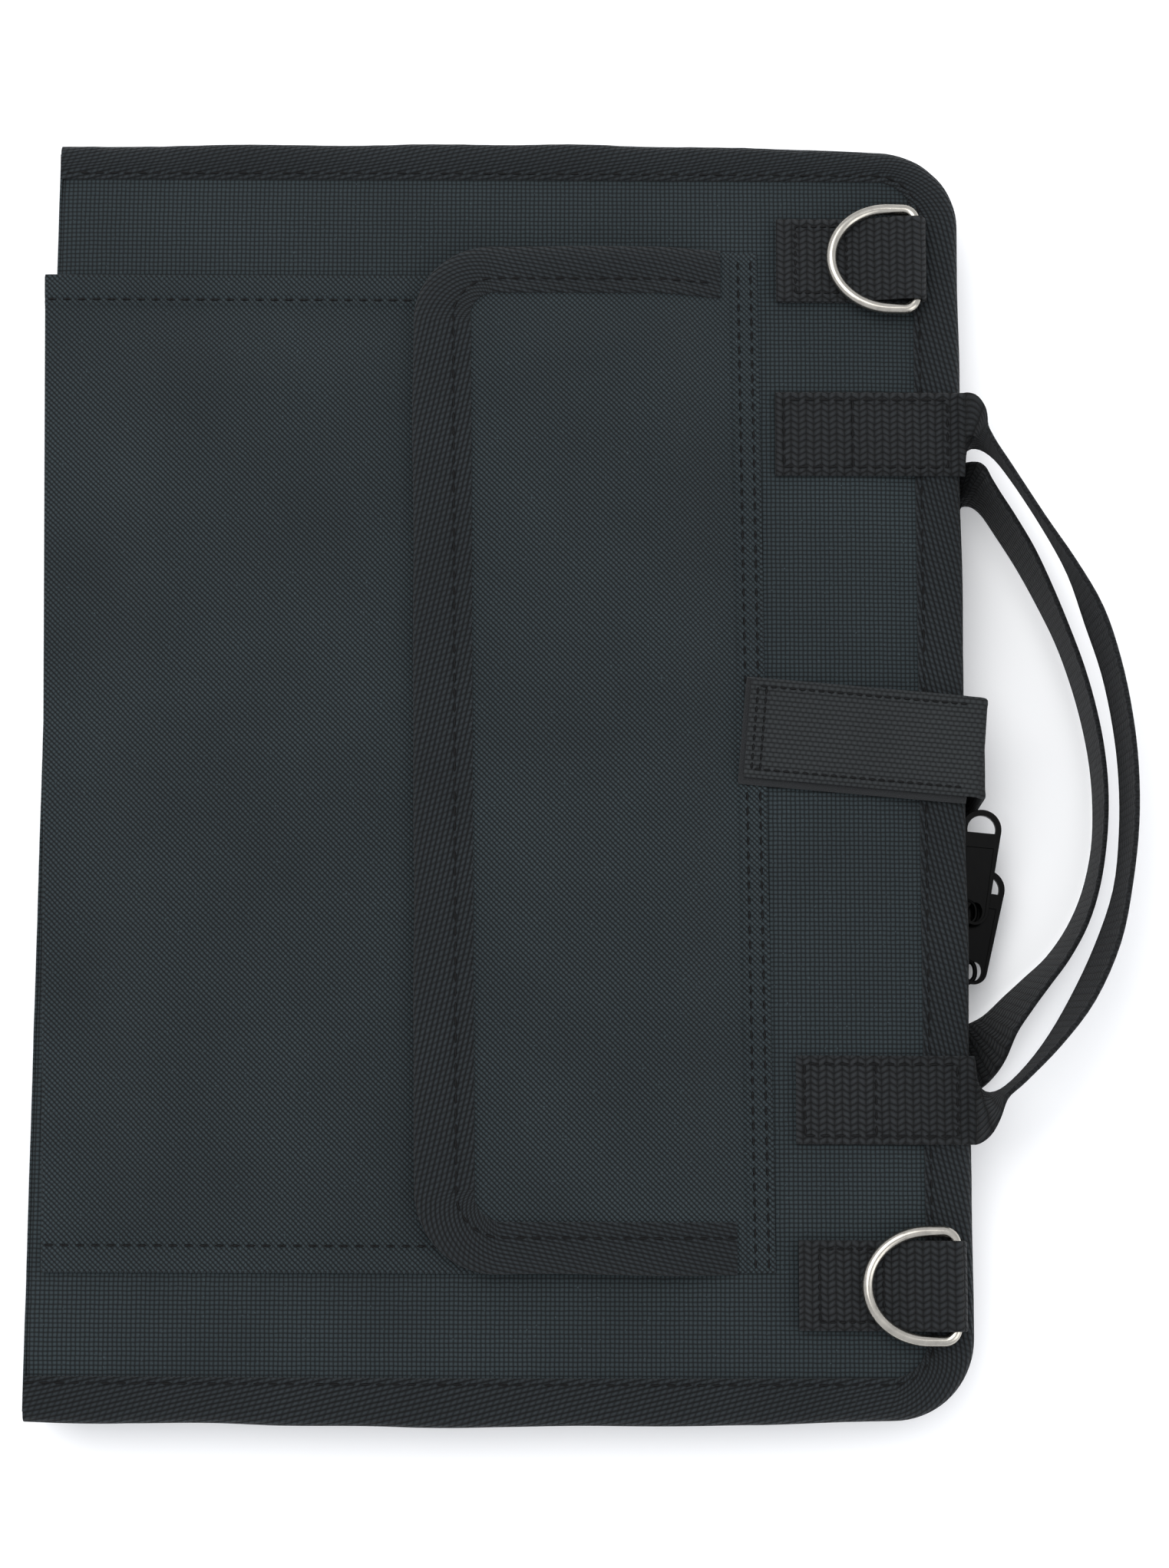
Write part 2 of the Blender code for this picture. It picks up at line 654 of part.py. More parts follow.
def make_handle(name, route, z_axis):
    """A handle loop from route points of (x, y, z, azimuth of its width, lean of its width)."""
    stations = []
    for x, y, z, azimuth, lean in smooth_route(route, 3):
        level = math.cos(math.radians(lean))
        half = Vector((level * math.cos(math.radians(azimuth)), level * math.sin(math.radians(azimuth)),
                       math.sin(math.radians(lean)))) * HANDLE_WIDTH / 2
        stations.append((Vector((x, y, z)), half))
    vertices, faces = ribbon(stations, WEBBING_THICKNESS)
    add_piece(name, "webbing", vertices, faces, (HANDLE_AXIS_X, 0.0, z_axis), smooth=True)


def make_handles():
    """The front and rear carrying handles, which stand on edge side by side."""
    front = (
        (HANDLE_START, 121.4, HANDLE_Z, 90, 0), (172.5, 120.6, 35.2, 90, 12), (177.5, 116.5, 35.6, 84, 38),
        (182.0, 110.5, 36.4, 70, 62), (190.0, 97.5, 37.4, 52, 80), (199.0, 83.0, 38.2, 36, 85),
        (213.0, 54.0, 39.6, 22, 87), (218.8, 26.5, 40.0, 12, 89), (222.0, -1.0, 40.0, 2, 90),
        (221.4, -29.0, 40.0, -8, 90), (216.0, -56.0, 39.4, -18, 87), (206.0, -83.0, 38.2, -34, 85),
        (196.0, -97.0, 37.4, -50, 78), (185.5, -109.0, 36.2, -70, 60), (179.0, -115.0, 35.6, -84, 38),
        (173.0, -118.2, 35.2, -90, 12), (HANDLE_START, -118.8, HANDLE_Z, -90, 0),
    )
    rear = (
        (HANDLE_START, 106.0, REAR_HANDLE_Z, 90, 0), (172.0, 103.5, 2.2, 90, 4), (176.5, 97.0, 4.4, 80, 12),
        (180.5, 88.5, 8.0, 62, 25), (184.5, 79.5, 10.6, 45, 38), (191.0, 68.5, 14.8, 35, 62),
        (203.0, 41.0, 16.2, 24, 82), (213.0, 12.6, 16.0, 8, 90), (215.8, -15.0, 16.0, -2, 93),
        (210.6, -42.4, 16.0, -22, 88), (196.0, -69.6, 14.8, -38, 62), (188.0, -79.0, 10.6, -48, 38),
        (182.0, -87.0, 7.6, -60, 24), (177.0, -94.5, 4.4, -80, 12), (172.0, -102.0, 2.2, -90, 4),
        (HANDLE_START, -105.0, REAR_HANDLE_Z, -90, 0),
    )
    make_handle("front_handle", front, HANDLE_Z)
    make_handle("rear_handle", rear, REAR_HANDLE_Z)


def ring_tab(name, x_start, x_end, y):
    """A webbing loop folded round the straight bar of a D-ring."""
    half = RING_TAB_THICKNESS / 2
    low = FRONT_TOP + GAP + half
    high = low + RING_TAB_THICKNESS + GAP
    bar_x = x_end - EYE_RADIUS - half
    path = [(x_start, low), (bar_x - 16.0, low), (bar_x, low)]
    for step in range(1, 8):
        angle = math.radians(-90.0 + 180.0 * step / 8)
        path.append((bar_x + EYE_RADIUS * math.cos(angle), low + EYE_RADIUS * (1 + math.sin(angle))))
    top = low + 2 * EYE_RADIUS
    path += [(bar_x, top), (bar_x - 5.0, top - 0.5), (bar_x - 13.0, top - 3.2), (bar_x - 21.0, high)]
    path.append((x_start + 1.0, high))
    width = Vector((0.0, RING_TAB_WIDTH / 2, 0.0))
    stations = [(Vector((x, y, z)), width) for x, z in path]
    vertices, faces = ribbon(stations, RING_TAB_THICKNESS)
    add_piece(name, "webbing", vertices, faces, FRONT_FOLD)
    return bar_x, low + EYE_RADIUS


def d_ring(name, bar_x, bar_z, y):
    """A wire D whose bar lies in the loop and whose bow leans on the webbing."""
    outline = []
    centre = RING_DEPTH - RING_HALF_HEIGHT
    for step in range(13):
        angle = math.radians(-90.0 + 180.0 * step / 12)
        outline.append((centre + RING_HALF_HEIGHT * math.cos(angle), RING_HALF_HEIGHT * math.sin(angle)))
    for side in (1.0, -1.0):
        corner = []
        for step in range(4):
            angle = math.radians(90.0 + 90.0 * step / 3)
            reach = RING_CORNER * (1 + math.cos(angle))
            corner.append((reach, side * (RING_HALF_HEIGHT - RING_CORNER * (1 - math.sin(angle)))))
        outline += corner if side > 0 else corner[::-1]
    path = []
    for reach, across in outline:
        x = bar_x - reach * math.cos(RING_LEAN)
        path.append(Vector((x, y + across, bar_z + reach * math.sin(RING_LEAN))))
    add_piece(name, "nickel", *tube(path, RING_WIRE_RADIUS, 8, True), (bar_x, y, bar_z), smooth=True)


def make_rings():
    """Two D-rings in their webbing loops."""
    for label, x_start, x_end, y in (("high", 98.2, 152.9, 186.2), ("low", 104.0, 162.2, -182.9)):
        bar_x, bar_z = ring_tab(f"ring_tab_{label}", x_start, x_end, y)
        d_ring(f"d_ring_{label}", bar_x, bar_z, y)


def make_closure_strap():
    """The closure strap: a leg sewn under the back cover and up the side, and a part that lifts."""
    corner = Vector(STRAP_CORNER)
    along = Vector((-math.cos(STRAP_ANGLE), math.sin(STRAP_ANGLE), 0.0))
    across = Vector((math.sin(STRAP_ANGLE), math.cos(STRAP_ANGLE), 0.0))
    drift = math.tan(STRAP_ANGLE)
    turn = 4.0
    leg = []
    path = [(STRAP_SEWN_TO, REAR_HANDLE_Z), (corner.x - turn, REAR_HANDLE_Z)]
    for step in range(1, 5):
        angle = math.radians(90.0 * step / 4)
        path.append((corner.x - turn + turn * math.sin(angle), REAR_HANDLE_Z + turn * (1 - math.cos(angle))))
    path.append((corner.x, corner.z - 1.3))
    for x, z in path:
        unrolled = (corner.z - z) + (corner.x - x)
        leg.append((Vector((x, corner.y - drift * unrolled, z)), Vector((0.0, STRAP_WIDTH / 2, 0.0))))
    add_piece("closure_strap_leg", "webbing", *ribbon(leg, WEBBING_THICKNESS))
    half = across * STRAP_WIDTH / 2
    top = [(corner + along * reach, half) for reach in (0.3, STRAP_LENGTH)]
    add_piece("closure_strap", "webbing", *ribbon(top, WEBBING_THICKNESS), STRAP_CORNER)
    hook_thickness = 1.2
    hook_z = Vector((0.0, 0.0, -WEBBING_THICKNESS / 2 - GAP - hook_thickness / 2))
    start = corner + hook_z - across * 1.0
    hook = [(start + along * reach, across * HOOK_WIDTH / 2) for reach in HOOK_REACH]
    add_piece("closure_hook_patch", "hook_and_loop", *ribbon(hook, hook_thickness), STRAP_CORNER)
    loop_z = FRONT_TOP + GAP + 0.45
    loop = []
    for reach in (12.0, 72.0):
        place = corner + along * reach
        loop.append((Vector((place.x, place.y, loop_z)), across * 15.0))
    add_piece("closure_loop_patch", "hook_and_loop", *ribbon(loop, 0.9), FRONT_FOLD)


def main():
    """Build the bag."""
    clear_scene()
    make_back_cover()
    make_front_cover()
    make_bindings()
    make_zip()
    make_spine()
    make_linings()
    make_stick_pockets()
    make_sliders()
    make_pocket()
    make_flap()
    make_pocket_fastener()
    make_handle_tabs()
    make_handles()
    make_rings()
    make_closure_strap()


main()
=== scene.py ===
"""Looks of the drumstick bag: fabric, webbing, stitches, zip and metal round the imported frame.

Lengths are in millimetres and become metres where a mesh is made. X runs from the spine to the
handles, Y along the sticks and Z up, as in the frame. Each woven piece has a UV map in
millimetres of its own cloth, so that its weave stays with it when it bends.
"""

import math
from collections import namedtuple

import bmesh
import bpy
from mathutils import Matrix, Vector, noise


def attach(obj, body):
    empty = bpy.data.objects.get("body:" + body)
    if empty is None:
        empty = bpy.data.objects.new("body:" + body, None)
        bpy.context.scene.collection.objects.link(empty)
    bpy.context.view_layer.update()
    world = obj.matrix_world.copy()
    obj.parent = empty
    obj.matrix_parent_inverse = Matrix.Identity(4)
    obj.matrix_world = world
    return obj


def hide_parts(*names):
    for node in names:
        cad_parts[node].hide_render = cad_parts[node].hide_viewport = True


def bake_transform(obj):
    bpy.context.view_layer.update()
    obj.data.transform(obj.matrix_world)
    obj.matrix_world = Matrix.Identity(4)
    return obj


MM = 0.001
UV_NAME = "cloth"
UP = Vector((0.0, 0.0, 1.0))

# Camera and light
VIEW_CENTRE = Vector((28.85, -7.15, 35.0))
VIEW_DISTANCE = 1000.0
VIEW_TILT = math.radians(8.1)
VIEW_ROLL = math.radians(0.2)
LENS = 64.4
SENSOR = 36.0
FLOOR_LEVEL = -0.4
FLOOR_SIZE = 6000.0

# Covers
HALF_WIDTH = 165.0
HALF_LENGTH = 229.0
CORNER_RADIUS = 28.0
RIM_INSET = 3.0
SPINE_INSET = 0.3
BINDING_WIDTHS = (16.5, 14.4, 11.7)
FRONT_TOP = 34.0
FRONT_BOTTOM = 28.0
BACK_TOP = 6.0
ZIP_MIDDLE = 17.15
SPINE_HALF_LENGTH = 224.0
CLOTH = 0.9
LINING_CLOTH = 0.7
SEAT_TOP = 2.5
SEAT_HELD = (1.9, 2.6)

# Pocket and flap
PATCH_SKEW = -0.0131
POCKET_LEFT = -164.0
POCKET_LEFT_SKEW = -0.0265
POCKET_MOUTH = 52.0
POCKET_LOW, POCKET_HIGH = -179.0, 180.0
POCKET_HEM = 9.0
POCKET_ROOM = 4.6
POCKET_RISE = 34.0
FLAP_LINE = 84.3
FLAP_EDGE = -30.7
FLAP_LOW, FLAP_HIGH = -178.4, 189.0
FLAP_BINDING_WIDTHS = (20.0, 17.0, 17.0)
FLAP_RISE = 28.0
FLAP_ROOM = 8.0
FLAP_HEM = 9.0
FLAP_SEAMS = (2.4, 7.0)
PATCH_SIDES = (-9.0, 11.0)
PATCH_CLOTH = 0.7

# Folded binding tape from its sewn edge over the panel's edge and back inside:
# (share of the tape's width inwards, further inwards, height over its level)
FRONT_BINDING_LEVEL = FRONT_TOP - 0.1
FRONT_BINDING = (
    (1.0, 0.0, -1.2), (1.0, -0.25, -0.25), (1.0, -1.1, -0.05), (1.0, -2.2, -0.35), (1.0, -3.6, 0.2),
    (0.5, 0.0, 0.75), (0.2, 0.0, 0.55), (0.0, 1.4, 0.05), (0.0, 0.35, -1.0), (0.0, -0.1, -2.8),
    (0.0, -0.05, -4.8), (0.0, 0.4, -6.4), (0.0, 1.6, -7.1), (0.0, 4.5, -7.2), (0.0, 4.5, -6.5),
    (0.0, 1.9, -6.2), (0.0, 1.1, -4.8), (0.0, 1.2, -2.6), (0.0, 2.4, -1.1),
)
BACK_BINDING_LEVEL = 2.3
BACK_BINDING = (
    (1.0, 0.0, 0.75), (1.0, -0.3, 0.15), (1.0, -2.2, 0.3), (0.5, 0.0, -0.2), (0.0, 2.0, 0.0),
    (0.0, 0.5, 0.8), (0.0, -0.1, 2.2), (0.0, 0.3, 4.2), (0.0, 1.5, 4.9), (0.0, 4.5, 5.0),
    (0.0, 4.5, 4.2), (0.0, 1.9, 3.9), (0.0, 1.1, 2.6), (0.0, 2.4, 1.15),
)
FLAP_BINDING = (
    (1.0, 0.0, 0.95), (1.0, -0.2, 1.75), (1.0, -1.3, 2.05), (0.82, 0.0, 2.1), (0.68, 0.0, 1.65),
    (0.52, 0.0, 2.25), (0.25, 0.0, 2.5), (0.0, 1.2, 2.1), (0.0, -0.6, 1.4), (0.0, -1.1, 0.5),
    (0.0, -0.7, -0.3), (0.0, 1.2, -0.8), (0.0, 9.0, -0.8), (0.0, 9.0, -0.15), (0.0, 1.0, -0.1),
    (0.0, 0.1, 0.5), (0.0, 1.2, 1.3),
)

# Webbing
WEBBING_THICKNESS = 1.8
HANDLE_WIDTH = 31.0
FRONT_HANDLE_Z = 35.2
REAR_HANDLE_Z = 1.0
HANDLE_START = 166.2
HANDLE_SEWN_TO = 160.0
BOX_MARGIN = 3.0
FRONT_TAB_HIGH = (97.7, 121.4)
FRONT_TAB_LOW = (103.5, -118.8)
REAR_TAB_HIGH = (100.0, 106.0)
REAR_TAB_LOW = (100.0, -105.0)
RING_TABS = {"high": (98.2, 152.9, 186.2), "low": (104.0, 162.2, -182.9)}
RING_LEAN = math.radians(4.3)
STRAP_CORNER = Vector((170.9, 6.0, 38.0))
STRAP_ANGLE = math.radians(4.9)
STRAP_ALONG = Vector((-math.cos(STRAP_ANGLE), math.sin(STRAP_ANGLE), 0.0))
STRAP_ACROSS = Vector((math.sin(STRAP_ANGLE), math.cos(STRAP_ANGLE), 0.0))
STRAP_LENGTH = 84.2
STRAP_WIDTH = 36.0
STRAP_SEWN_TO = 110.0
STRAP_LOW_BEND = 4.0
STRAP_TOP_BEND = 3.0
# Webbing across its width: (share of the half width, share of the half thickness)
STRAP_SECTION = ((-1.0, 0.4), (-0.97, 0.88), (-0.9, 1.0), (-0.8, 0.84), (-0.4, 0.92), (0.0, 0.95),
                 (0.4, 0.92), (0.8, 0.84), (0.9, 1.0), (0.97, 0.88), (1.0, 0.4))

# Zip sliders: (middle, height of the bail, way the pull points), by label
SLIDERS = {"upper": (-54.0, 19.3, math.radians(5.4)), "lower": (-75.0, 14.2, math.radians(8.4))}
BAIL_X = 169.4
BAIL_AHEAD = 3.0

# Sewing
STITCH_PITCH = 5.3
STITCH_LENGTH = 3.7
THREAD_RADIUS = 0.42
THREAD_LIFT = 0.12
TIGHT_STITCHES = {"pitch": 3.4, "length": 2.4}

# Cloth simulation of the covers
SWELL_FRAMES = 20
SWELL_PRESSURE = 4.0
SWELL_CAP = 0.9

Side = namedtuple("Side", "x y inward_x inward_y width")


# --- Small maths ---

def ease(distance, width):
    """A smooth ramp from 0 to 1 over the width."""
    share = min(max(distance / width, 0.0), 1.0)
    return share * share * (3.0 - 2.0 * share)


def ripple(x, y, wavelength, seed=0.0):
    """Smooth, seeded unevenness between about -1 and 1."""
    return noise.noise(Vector((x / wavelength, y / wavelength, seed)))


def steps_between(first, last, step):
    """Evenly spaced values from first to last, about one step apart."""
    count = max(1, round(abs(last - first) / step))
    return [first + (last - first) * place / count for place in range(count + 1)]


def angles(first, last, steps):
    """Angles in radians from first to last, which are in degrees and both included."""
    return [math.radians(first + (last - first) * step / steps) for step in range(steps + 1)]


def smooth_route(points, parts):
    """Rows read off a smooth curve through the points (Catmull-Rom), parts to a span."""
    padded = [points[0], *points, points[-1]]
    rows = []
    for place in range(1, len(padded) - 2):
        before, start, end, after = padded[place - 1:place + 3]
        for part in range(parts):
            t = part / parts
            row = []
            for a, b, c, d in zip(before, start, end, after):
                row.append(0.5 * (2 * b + (c - a) * t + (2 * a - 5 * b + 4 * c - d) * t ** 2
                                  + (3 * b - a - 3 * c + d) * t ** 3))
            rows.append(tuple(row))
    rows.append(tuple(points[-1]))
    return rows


def distances(points):
    """Distance along a line of points, starting at 0."""
    total = [0.0]
    for first, second in zip(points, points[1:]):
        total.append(total[-1] + (Vector(second) - Vector(first)).length)
    return total


def evenly(points, step):
    """Points about one step apart along a line of points."""
    along = distances(points)
    wanted = steps_between(0.0, along[-1], step)
    result = []
    place = 0
    for distance in wanted:
        while place < len(along) - 2 and along[place + 1] < distance:
            place += 1
        span = max(along[place + 1] - along[place], 1e-6)
        share = min(max((distance - along[place]) / span, 0.0), 1.0)
        result.append(Vector(points[place]).lerp(Vector(points[place + 1]), share))
    return result


# --- Meshes ---

def add_object(name, data):
    """A new object in the scene."""
    thing = bpy.data.objects.new(name, data)
    bpy.context.scene.collection.objects.link(thing)
    return thing


def make_piece(name, shape, look, body=None, *replaces, sharp=50.0):
    """An object from (vertices, faces, corner UVs), in one of the materials. It rides on the body,
    if that is given, and replaces the CAD nodes named after it."""
    vertices, faces, uvs = shape
    mesh = bpy.data.meshes.new(name)
    mesh.from_pydata([tuple(Vector(vertex) * MM) for vertex in vertices], [], faces)
    if uvs:
        layer = mesh.uv_layers.new(name=UV_NAME)
        layer.data.foreach_set("uv", [value for face in uvs for corner in face for value in corner])
    face_outwards(mesh)
    mesh.polygons.foreach_set("use_smooth", [True] * len(faces))
    mesh.set_sharp_from_angle(angle=math.radians(sharp))
    mesh.materials.append(MATERIALS[look])
    piece = add_object(name, mesh)
    if replaces:
        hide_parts(*replaces)
    if body:
        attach(piece, body)
    return piece


def face_outwards(mesh):
    """Turn every face of a closed mesh outwards."""
    work = bmesh.new()
    work.from_mesh(mesh)
    bmesh.ops.recalc_face_normals(work, faces=work.faces)
    work.to_mesh(mesh)
    work.free()


def join_shapes(shapes):
    """Several (vertices, faces, uvs) as one."""
    vertices, faces, uvs = [], [], []
    for more_vertices, more_faces, more_uvs in shapes:
        offset = len(vertices)
        vertices += more_vertices
        faces += [tuple(corner + offset for corner in face) for face in more_faces]
        uvs += more_uvs
    return vertices, faces, uvs


def sweep(rings, across, along, closed=False):
    """A skin over rings of points. across and along are the UVs in millimetres, one more across
    than there are points in a ring. An open skin is capped at both ends."""
    size = len(rings[0])
    vertices = [point for ring in rings for point in ring]
    faces, uvs = [], []
    spans = len(rings) if closed else len(rings) - 1
    for row in range(spans):
        near, far = row * size, (row + 1) % len(rings) * size
        for column in range(size):
            beside = (column + 1) % size
            faces.append((near + column, near + beside, far + beside, far + column))
            uvs.append(((across[column], along[row]), (across[column + 1], along[row]),
                        (across[column + 1], along[row + 1]), (across[column], along[row + 1])))
    if not closed:
        first = list(reversed(range(size)))
        last = [len(vertices) - size + column for column in range(size)]
        for end, row in ((first, 0), (last, -1)):
            faces.append(tuple(end))
            uvs.append(tuple((across[corner % size], along[row]) for corner in end))
    return vertices, faces, uvs


def around(ring):
    """Distance round a closed ring of points, back to its first one."""
    return distances([*ring, ring[0]])


def tube(path, radius, sides=8, closed=False, radii=None):
    """A round wire or thread along a path."""
    rings = []
    count = len(path)
    turns = [2 * math.pi * step / sides for step in range(sides)]
    side = None
    for place in range(count):
        before = path[(place - 1) % count] if closed or place else path[0]
        after = path[(place + 1) % count] if closed or place < count - 1 else path[-1]
        tangent = (after - before).normalized()
        if side is None:
            guide = UP if abs(tangent.z) < 0.9 else Vector((1.0, 0.0, 0.0))
            side = tangent.cross(guide).normalized()
        side = (side - tangent * side.dot(tangent)).normalized()
        up = side.cross(tangent)
        reach = radii[place] if radii else radius
        rings.append([path[place] + side * reach * math.cos(turn) + up * reach * math.sin(turn)
                      for turn in turns])
    across = [2 * math.pi * radius * step / sides for step in range(sides + 1)]
    return sweep(rings, across, around(path) if closed else distances(path), closed)


def sheet_shape(grid, flat, thickness, under=None):
    """A thin closed sheet. grid[row][column] is its upper side, flat the same points on the cut cloth,
    and under its lower side where that isn't a thickness below."""
    columns = len(grid[0])
    size = len(grid) * columns
    upper = [Vector(point) for row in grid for point in row]
    if under:
        lower = [Vector(point) for row in under for point in row]
    else:
        lower = [point - UP * thickness for point in upper]
    chart = [tuple(point) for row in flat for point in row]
    faces = []
    for row in range(len(grid) - 1):
        for column in range(columns - 1):
            first = row * columns + column
            quad = (first, first + 1, first + columns + 1, first + columns)
            faces.append(quad)
            faces.append(tuple(size + corner for corner in reversed(quad)))
    rim = list(range(columns))
    rim += [row * columns + columns - 1 for row in range(1, len(grid))]
    rim += [(len(grid) - 1) * columns + column for column in range(columns - 2, -1, -1)]
    rim += [row * columns for row in range(len(grid) - 2, 0, -1)]
    middle = []
    turn = math.copysign(0.45 * thickness, signed_area([upper[corner] for corner in rim]))
    for place, corner in enumerate(rim):
        tangent = upper[rim[(place + 1) % len(rim)]] - upper[rim[place - 1]]
        outward = Vector((tangent.y, -tangent.x, 0.0)).normalized() * turn
        middle.append((upper[corner] + lower[corner]) / 2 + outward)
    for place, first in enumerate(rim):
        after = (place + 1) % len(rim)
        second = rim[after]
        faces.append((second, first, 2 * size + place, 2 * size + after))
        faces.append((2 * size + after, 2 * size + place, size + first, size + second))
    chart = chart + chart + [chart[corner] for corner in rim]
    return upper + lower + middle, faces, [tuple(chart[corner] for corner in face) for face in faces]


def signed_area(points):
    """Area inside a loop seen from above, positive if it runs anticlockwise."""
    pairs = zip(points, points[1:] + points[:1])
    return sum(first.x * second.y - second.x * first.y for first, second in pairs) / 2


def dash(points):
    """One stitch: a short thread that is thinner where it dives at both ends."""
    last = len(points) - 1
    radii = [THREAD_RADIUS * (0.55 if place in (0, last) else 1.0) for place in range(last + 1)]
    return tube(points, THREAD_RADIUS, 6, False, radii)


def stitches(name, lines, body, pitch=STITCH_PITCH, length=STITCH_LENGTH, up=UP):
    """Rows of stitches along lines of points, as one piece on one body, or loose if body is None."""
    shapes = []
    for line in lines:
        path = evenly(line, pitch / 6)
        span = max(2, round(6 * length / pitch))
        for start in range(0, len(path) - span, 6):
            some = path[start:start + span + 1]
            raised = []
            for place, point in enumerate(some):
                arch = math.sin(math.pi * place / span)
                raised.append(point + up * (THREAD_LIFT + THREAD_RADIUS * (0.9 * arch - 0.75)))
            shapes.append(dash(raised))
    return make_piece(name, join_shapes(shapes), "thread", body)


def bound_sides(x_open, x_edge, y_low, y_high, radius, widths, step, skew=0.0):
    """Places round the three bound sides of a panel, with the way inwards and the tape's width."""
    edge_width, low_width, high_width = widths
    way = math.copysign(1.0, x_edge - x_open)
    x_turn = x_edge - way * radius
    rows = [Side(x, y_low, 0.0, 1.0, low_width) for x in steps_between(x_open, x_turn, step)]
    corner_steps = max(6, round(radius * math.pi / 2 / step))

    def corner(y_centre, first, from_width, to_width):
        for place in range(1, corner_steps + 1):
            share = place / corner_steps
            turn = math.radians(first + 90.0 * share)
            out_x, out_y = way * math.cos(turn), math.sin(turn)
            width = from_width + (to_width - from_width) * share
            rows.append(Side(x_turn + radius * out_x, y_centre + radius * out_y, -out_x, -out_y, width))

    corner(y_low + radius, -90.0, low_width, edge_width)
    for y in steps_between(y_low + radius, y_high - radius, step)[1:]:
        rows.append(Side(x_edge, y, -way, 0.0, edge_width))
    corner(y_high - radius, 0.0, edge_width, high_width)
    rows += [Side(x, y_high, 0.0, -1.0, high_width) for x in steps_between(x_turn, x_open, step)[1:]]
    return [row._replace(x=row.x + skew * row.y) for row in rows]


def inward(side, inset):
    """The point a distance in from a bound edge, as (x, y)."""
    return side.x + side.inward_x * inset, side.y + side.inward_y * inset


def tape_shape(sides, section, surface=None, wander=0.0, pucker=0.0, seed=0.0):
    """Tape folded over an edge. section holds (share of the width, extra inset, z)."""
    path = [Vector((side.x, side.y, 0.0)) for side in sides]
    along = distances(path)
    rings = []
    for side, distance in zip(sides, along):
        ring = []
        drift = wander * ripple(distance, 0.0, 42.0, seed)
        for share, extra, z in section:
            x, y = inward(side, share * side.width + extra - drift * (1.0 - share))
            lift = pucker * ripple(distance, 30.0 * share, 6.5, seed + 5.0)
            base = surface(x, y) if surface else 0.0
            ring.append(Vector((x, y, base + z + lift)))
        rings.append(ring)
    reach = sides[len(sides) // 2].width
    flat = [Vector((share * reach + extra, z, 0.0)) for share, extra, z in section]
    return sweep(rings, around(flat), along)


def side_line(sides, share, extra, z, surface=None):
    """A line of points on the tape, for its stitches."""
    line = []
    for side in sides:
        x, y = inward(side, share * side.width + extra)
        line.append(Vector((x, y, (surface(x, y) if surface else 0.0) + z)))
    return line


# --- Materials ---

def set_inputs(node, values):
    """Set inputs of a node by their names."""
    for name, value in values.items():
        node.inputs[name].default_value = value


class Paint:
    """One material, with short calls that add a node and give back its output."""

    def __init__(self, name, roughness, sheen=0.0):
        self.material = bpy.data.materials.new(name)
        self.material.use_nodes = True
        self.nodes = self.material.node_tree.nodes
        self.links = self.material.node_tree.links
        self.shader = self.nodes["Principled BSDF"]
        set_inputs(self.shader, {"Roughness": roughness, "Specular IOR Level": 0.2,
                                 "Sheen Weight": sheen, "Sheen Roughness": 0.55})

    def put(self, socket, value):
        if isinstance(value, bpy.types.NodeSocket):
            self.links.new(value, socket)
        else:
            socket.default_value = value

    def math(self, operation, *values):
        node = self.nodes.new("ShaderNodeMath")
        node.operation = operation
        for socket, value in zip(node.inputs, values):
            self.put(socket, value)
        return node.outputs[0]

    def cloth_place(self, wobble):
        """Place on the cut cloth in millimetres (across, along), a little uneven as woven cloth is."""
        chart = self.nodes.new("ShaderNodeUVMap")
        chart.uv_map = UV_NAME
        drift = self.noise(chart.outputs[0], 0.22, 2.0)
        split = self.nodes.new("ShaderNodeSeparateXYZ")
        self.links.new(chart.outputs[0], split.inputs[0])
        shift = self.math("MULTIPLY_ADD", drift, wobble, -wobble / 2)
        across, along = (self.math("ADD", output, shift) for output in split.outputs[:2])
        return across, along, chart.outputs[0]

    def noise(self, vector, scale, detail=3.0):
        node = self.nodes.new("ShaderNodeTexNoise")
        set_inputs(node, {"Scale": scale, "Detail": detail})
        self.links.new(vector, node.inputs["Vector"])
        return node.outputs[0]

    def solid_place(self):
        """Place in the object's own space, for metal and plastic."""
        return self.nodes.new("ShaderNodeTexCoord").outputs["Object"]

    def wave(self, value, pitch):
        """0 in the gaps and 1 on the ridges, one ridge to a pitch."""
        turned = self.math("SINE", self.math("MULTIPLY", value, math.pi / pitch))
        return self.math("ABSOLUTE", turned)

    def ramp(self, value, stops):
        node = self.nodes.new("ShaderNodeValToRGB")
        marks = node.color_ramp.elements
        while len(marks) < len(stops):
            marks.new(0.5)
        for mark, (place, colour) in zip(marks, stops):
            mark.position = place
            mark.color = (*colour, 1.0)
        self.links.new(value, node.inputs[0])
        return node.outputs[0]

    def mix(self, share, first, second, way="MIX"):
        node = self.nodes.new("ShaderNodeMix")
        node.data_type = "RGBA"
        node.blend_type = way
        for socket, value in zip((node.inputs[0], node.inputs[6], node.inputs[7]), (share, first, second)):
            self.put(socket, value)
        return node.outputs[2]

    def bump(self, height, depth):
        node = self.nodes.new("ShaderNodeBump")
        set_inputs(node, {"Strength": 1.0, "Distance": depth * MM})
        self.links.new(height, node.inputs["Height"])
        self.links.new(node.outputs[0], self.shader.inputs["Normal"])

    def finish(self, colour, roughness=None):
        self.links.new(colour, self.shader.inputs["Base Color"])
        if roughness is not None:
            self.links.new(roughness, self.shader.inputs["Roughness"])
        return self.material


def tint(colour, strength):
    """A colour made lighter or darker."""
    return tuple(channel * strength for channel in colour)


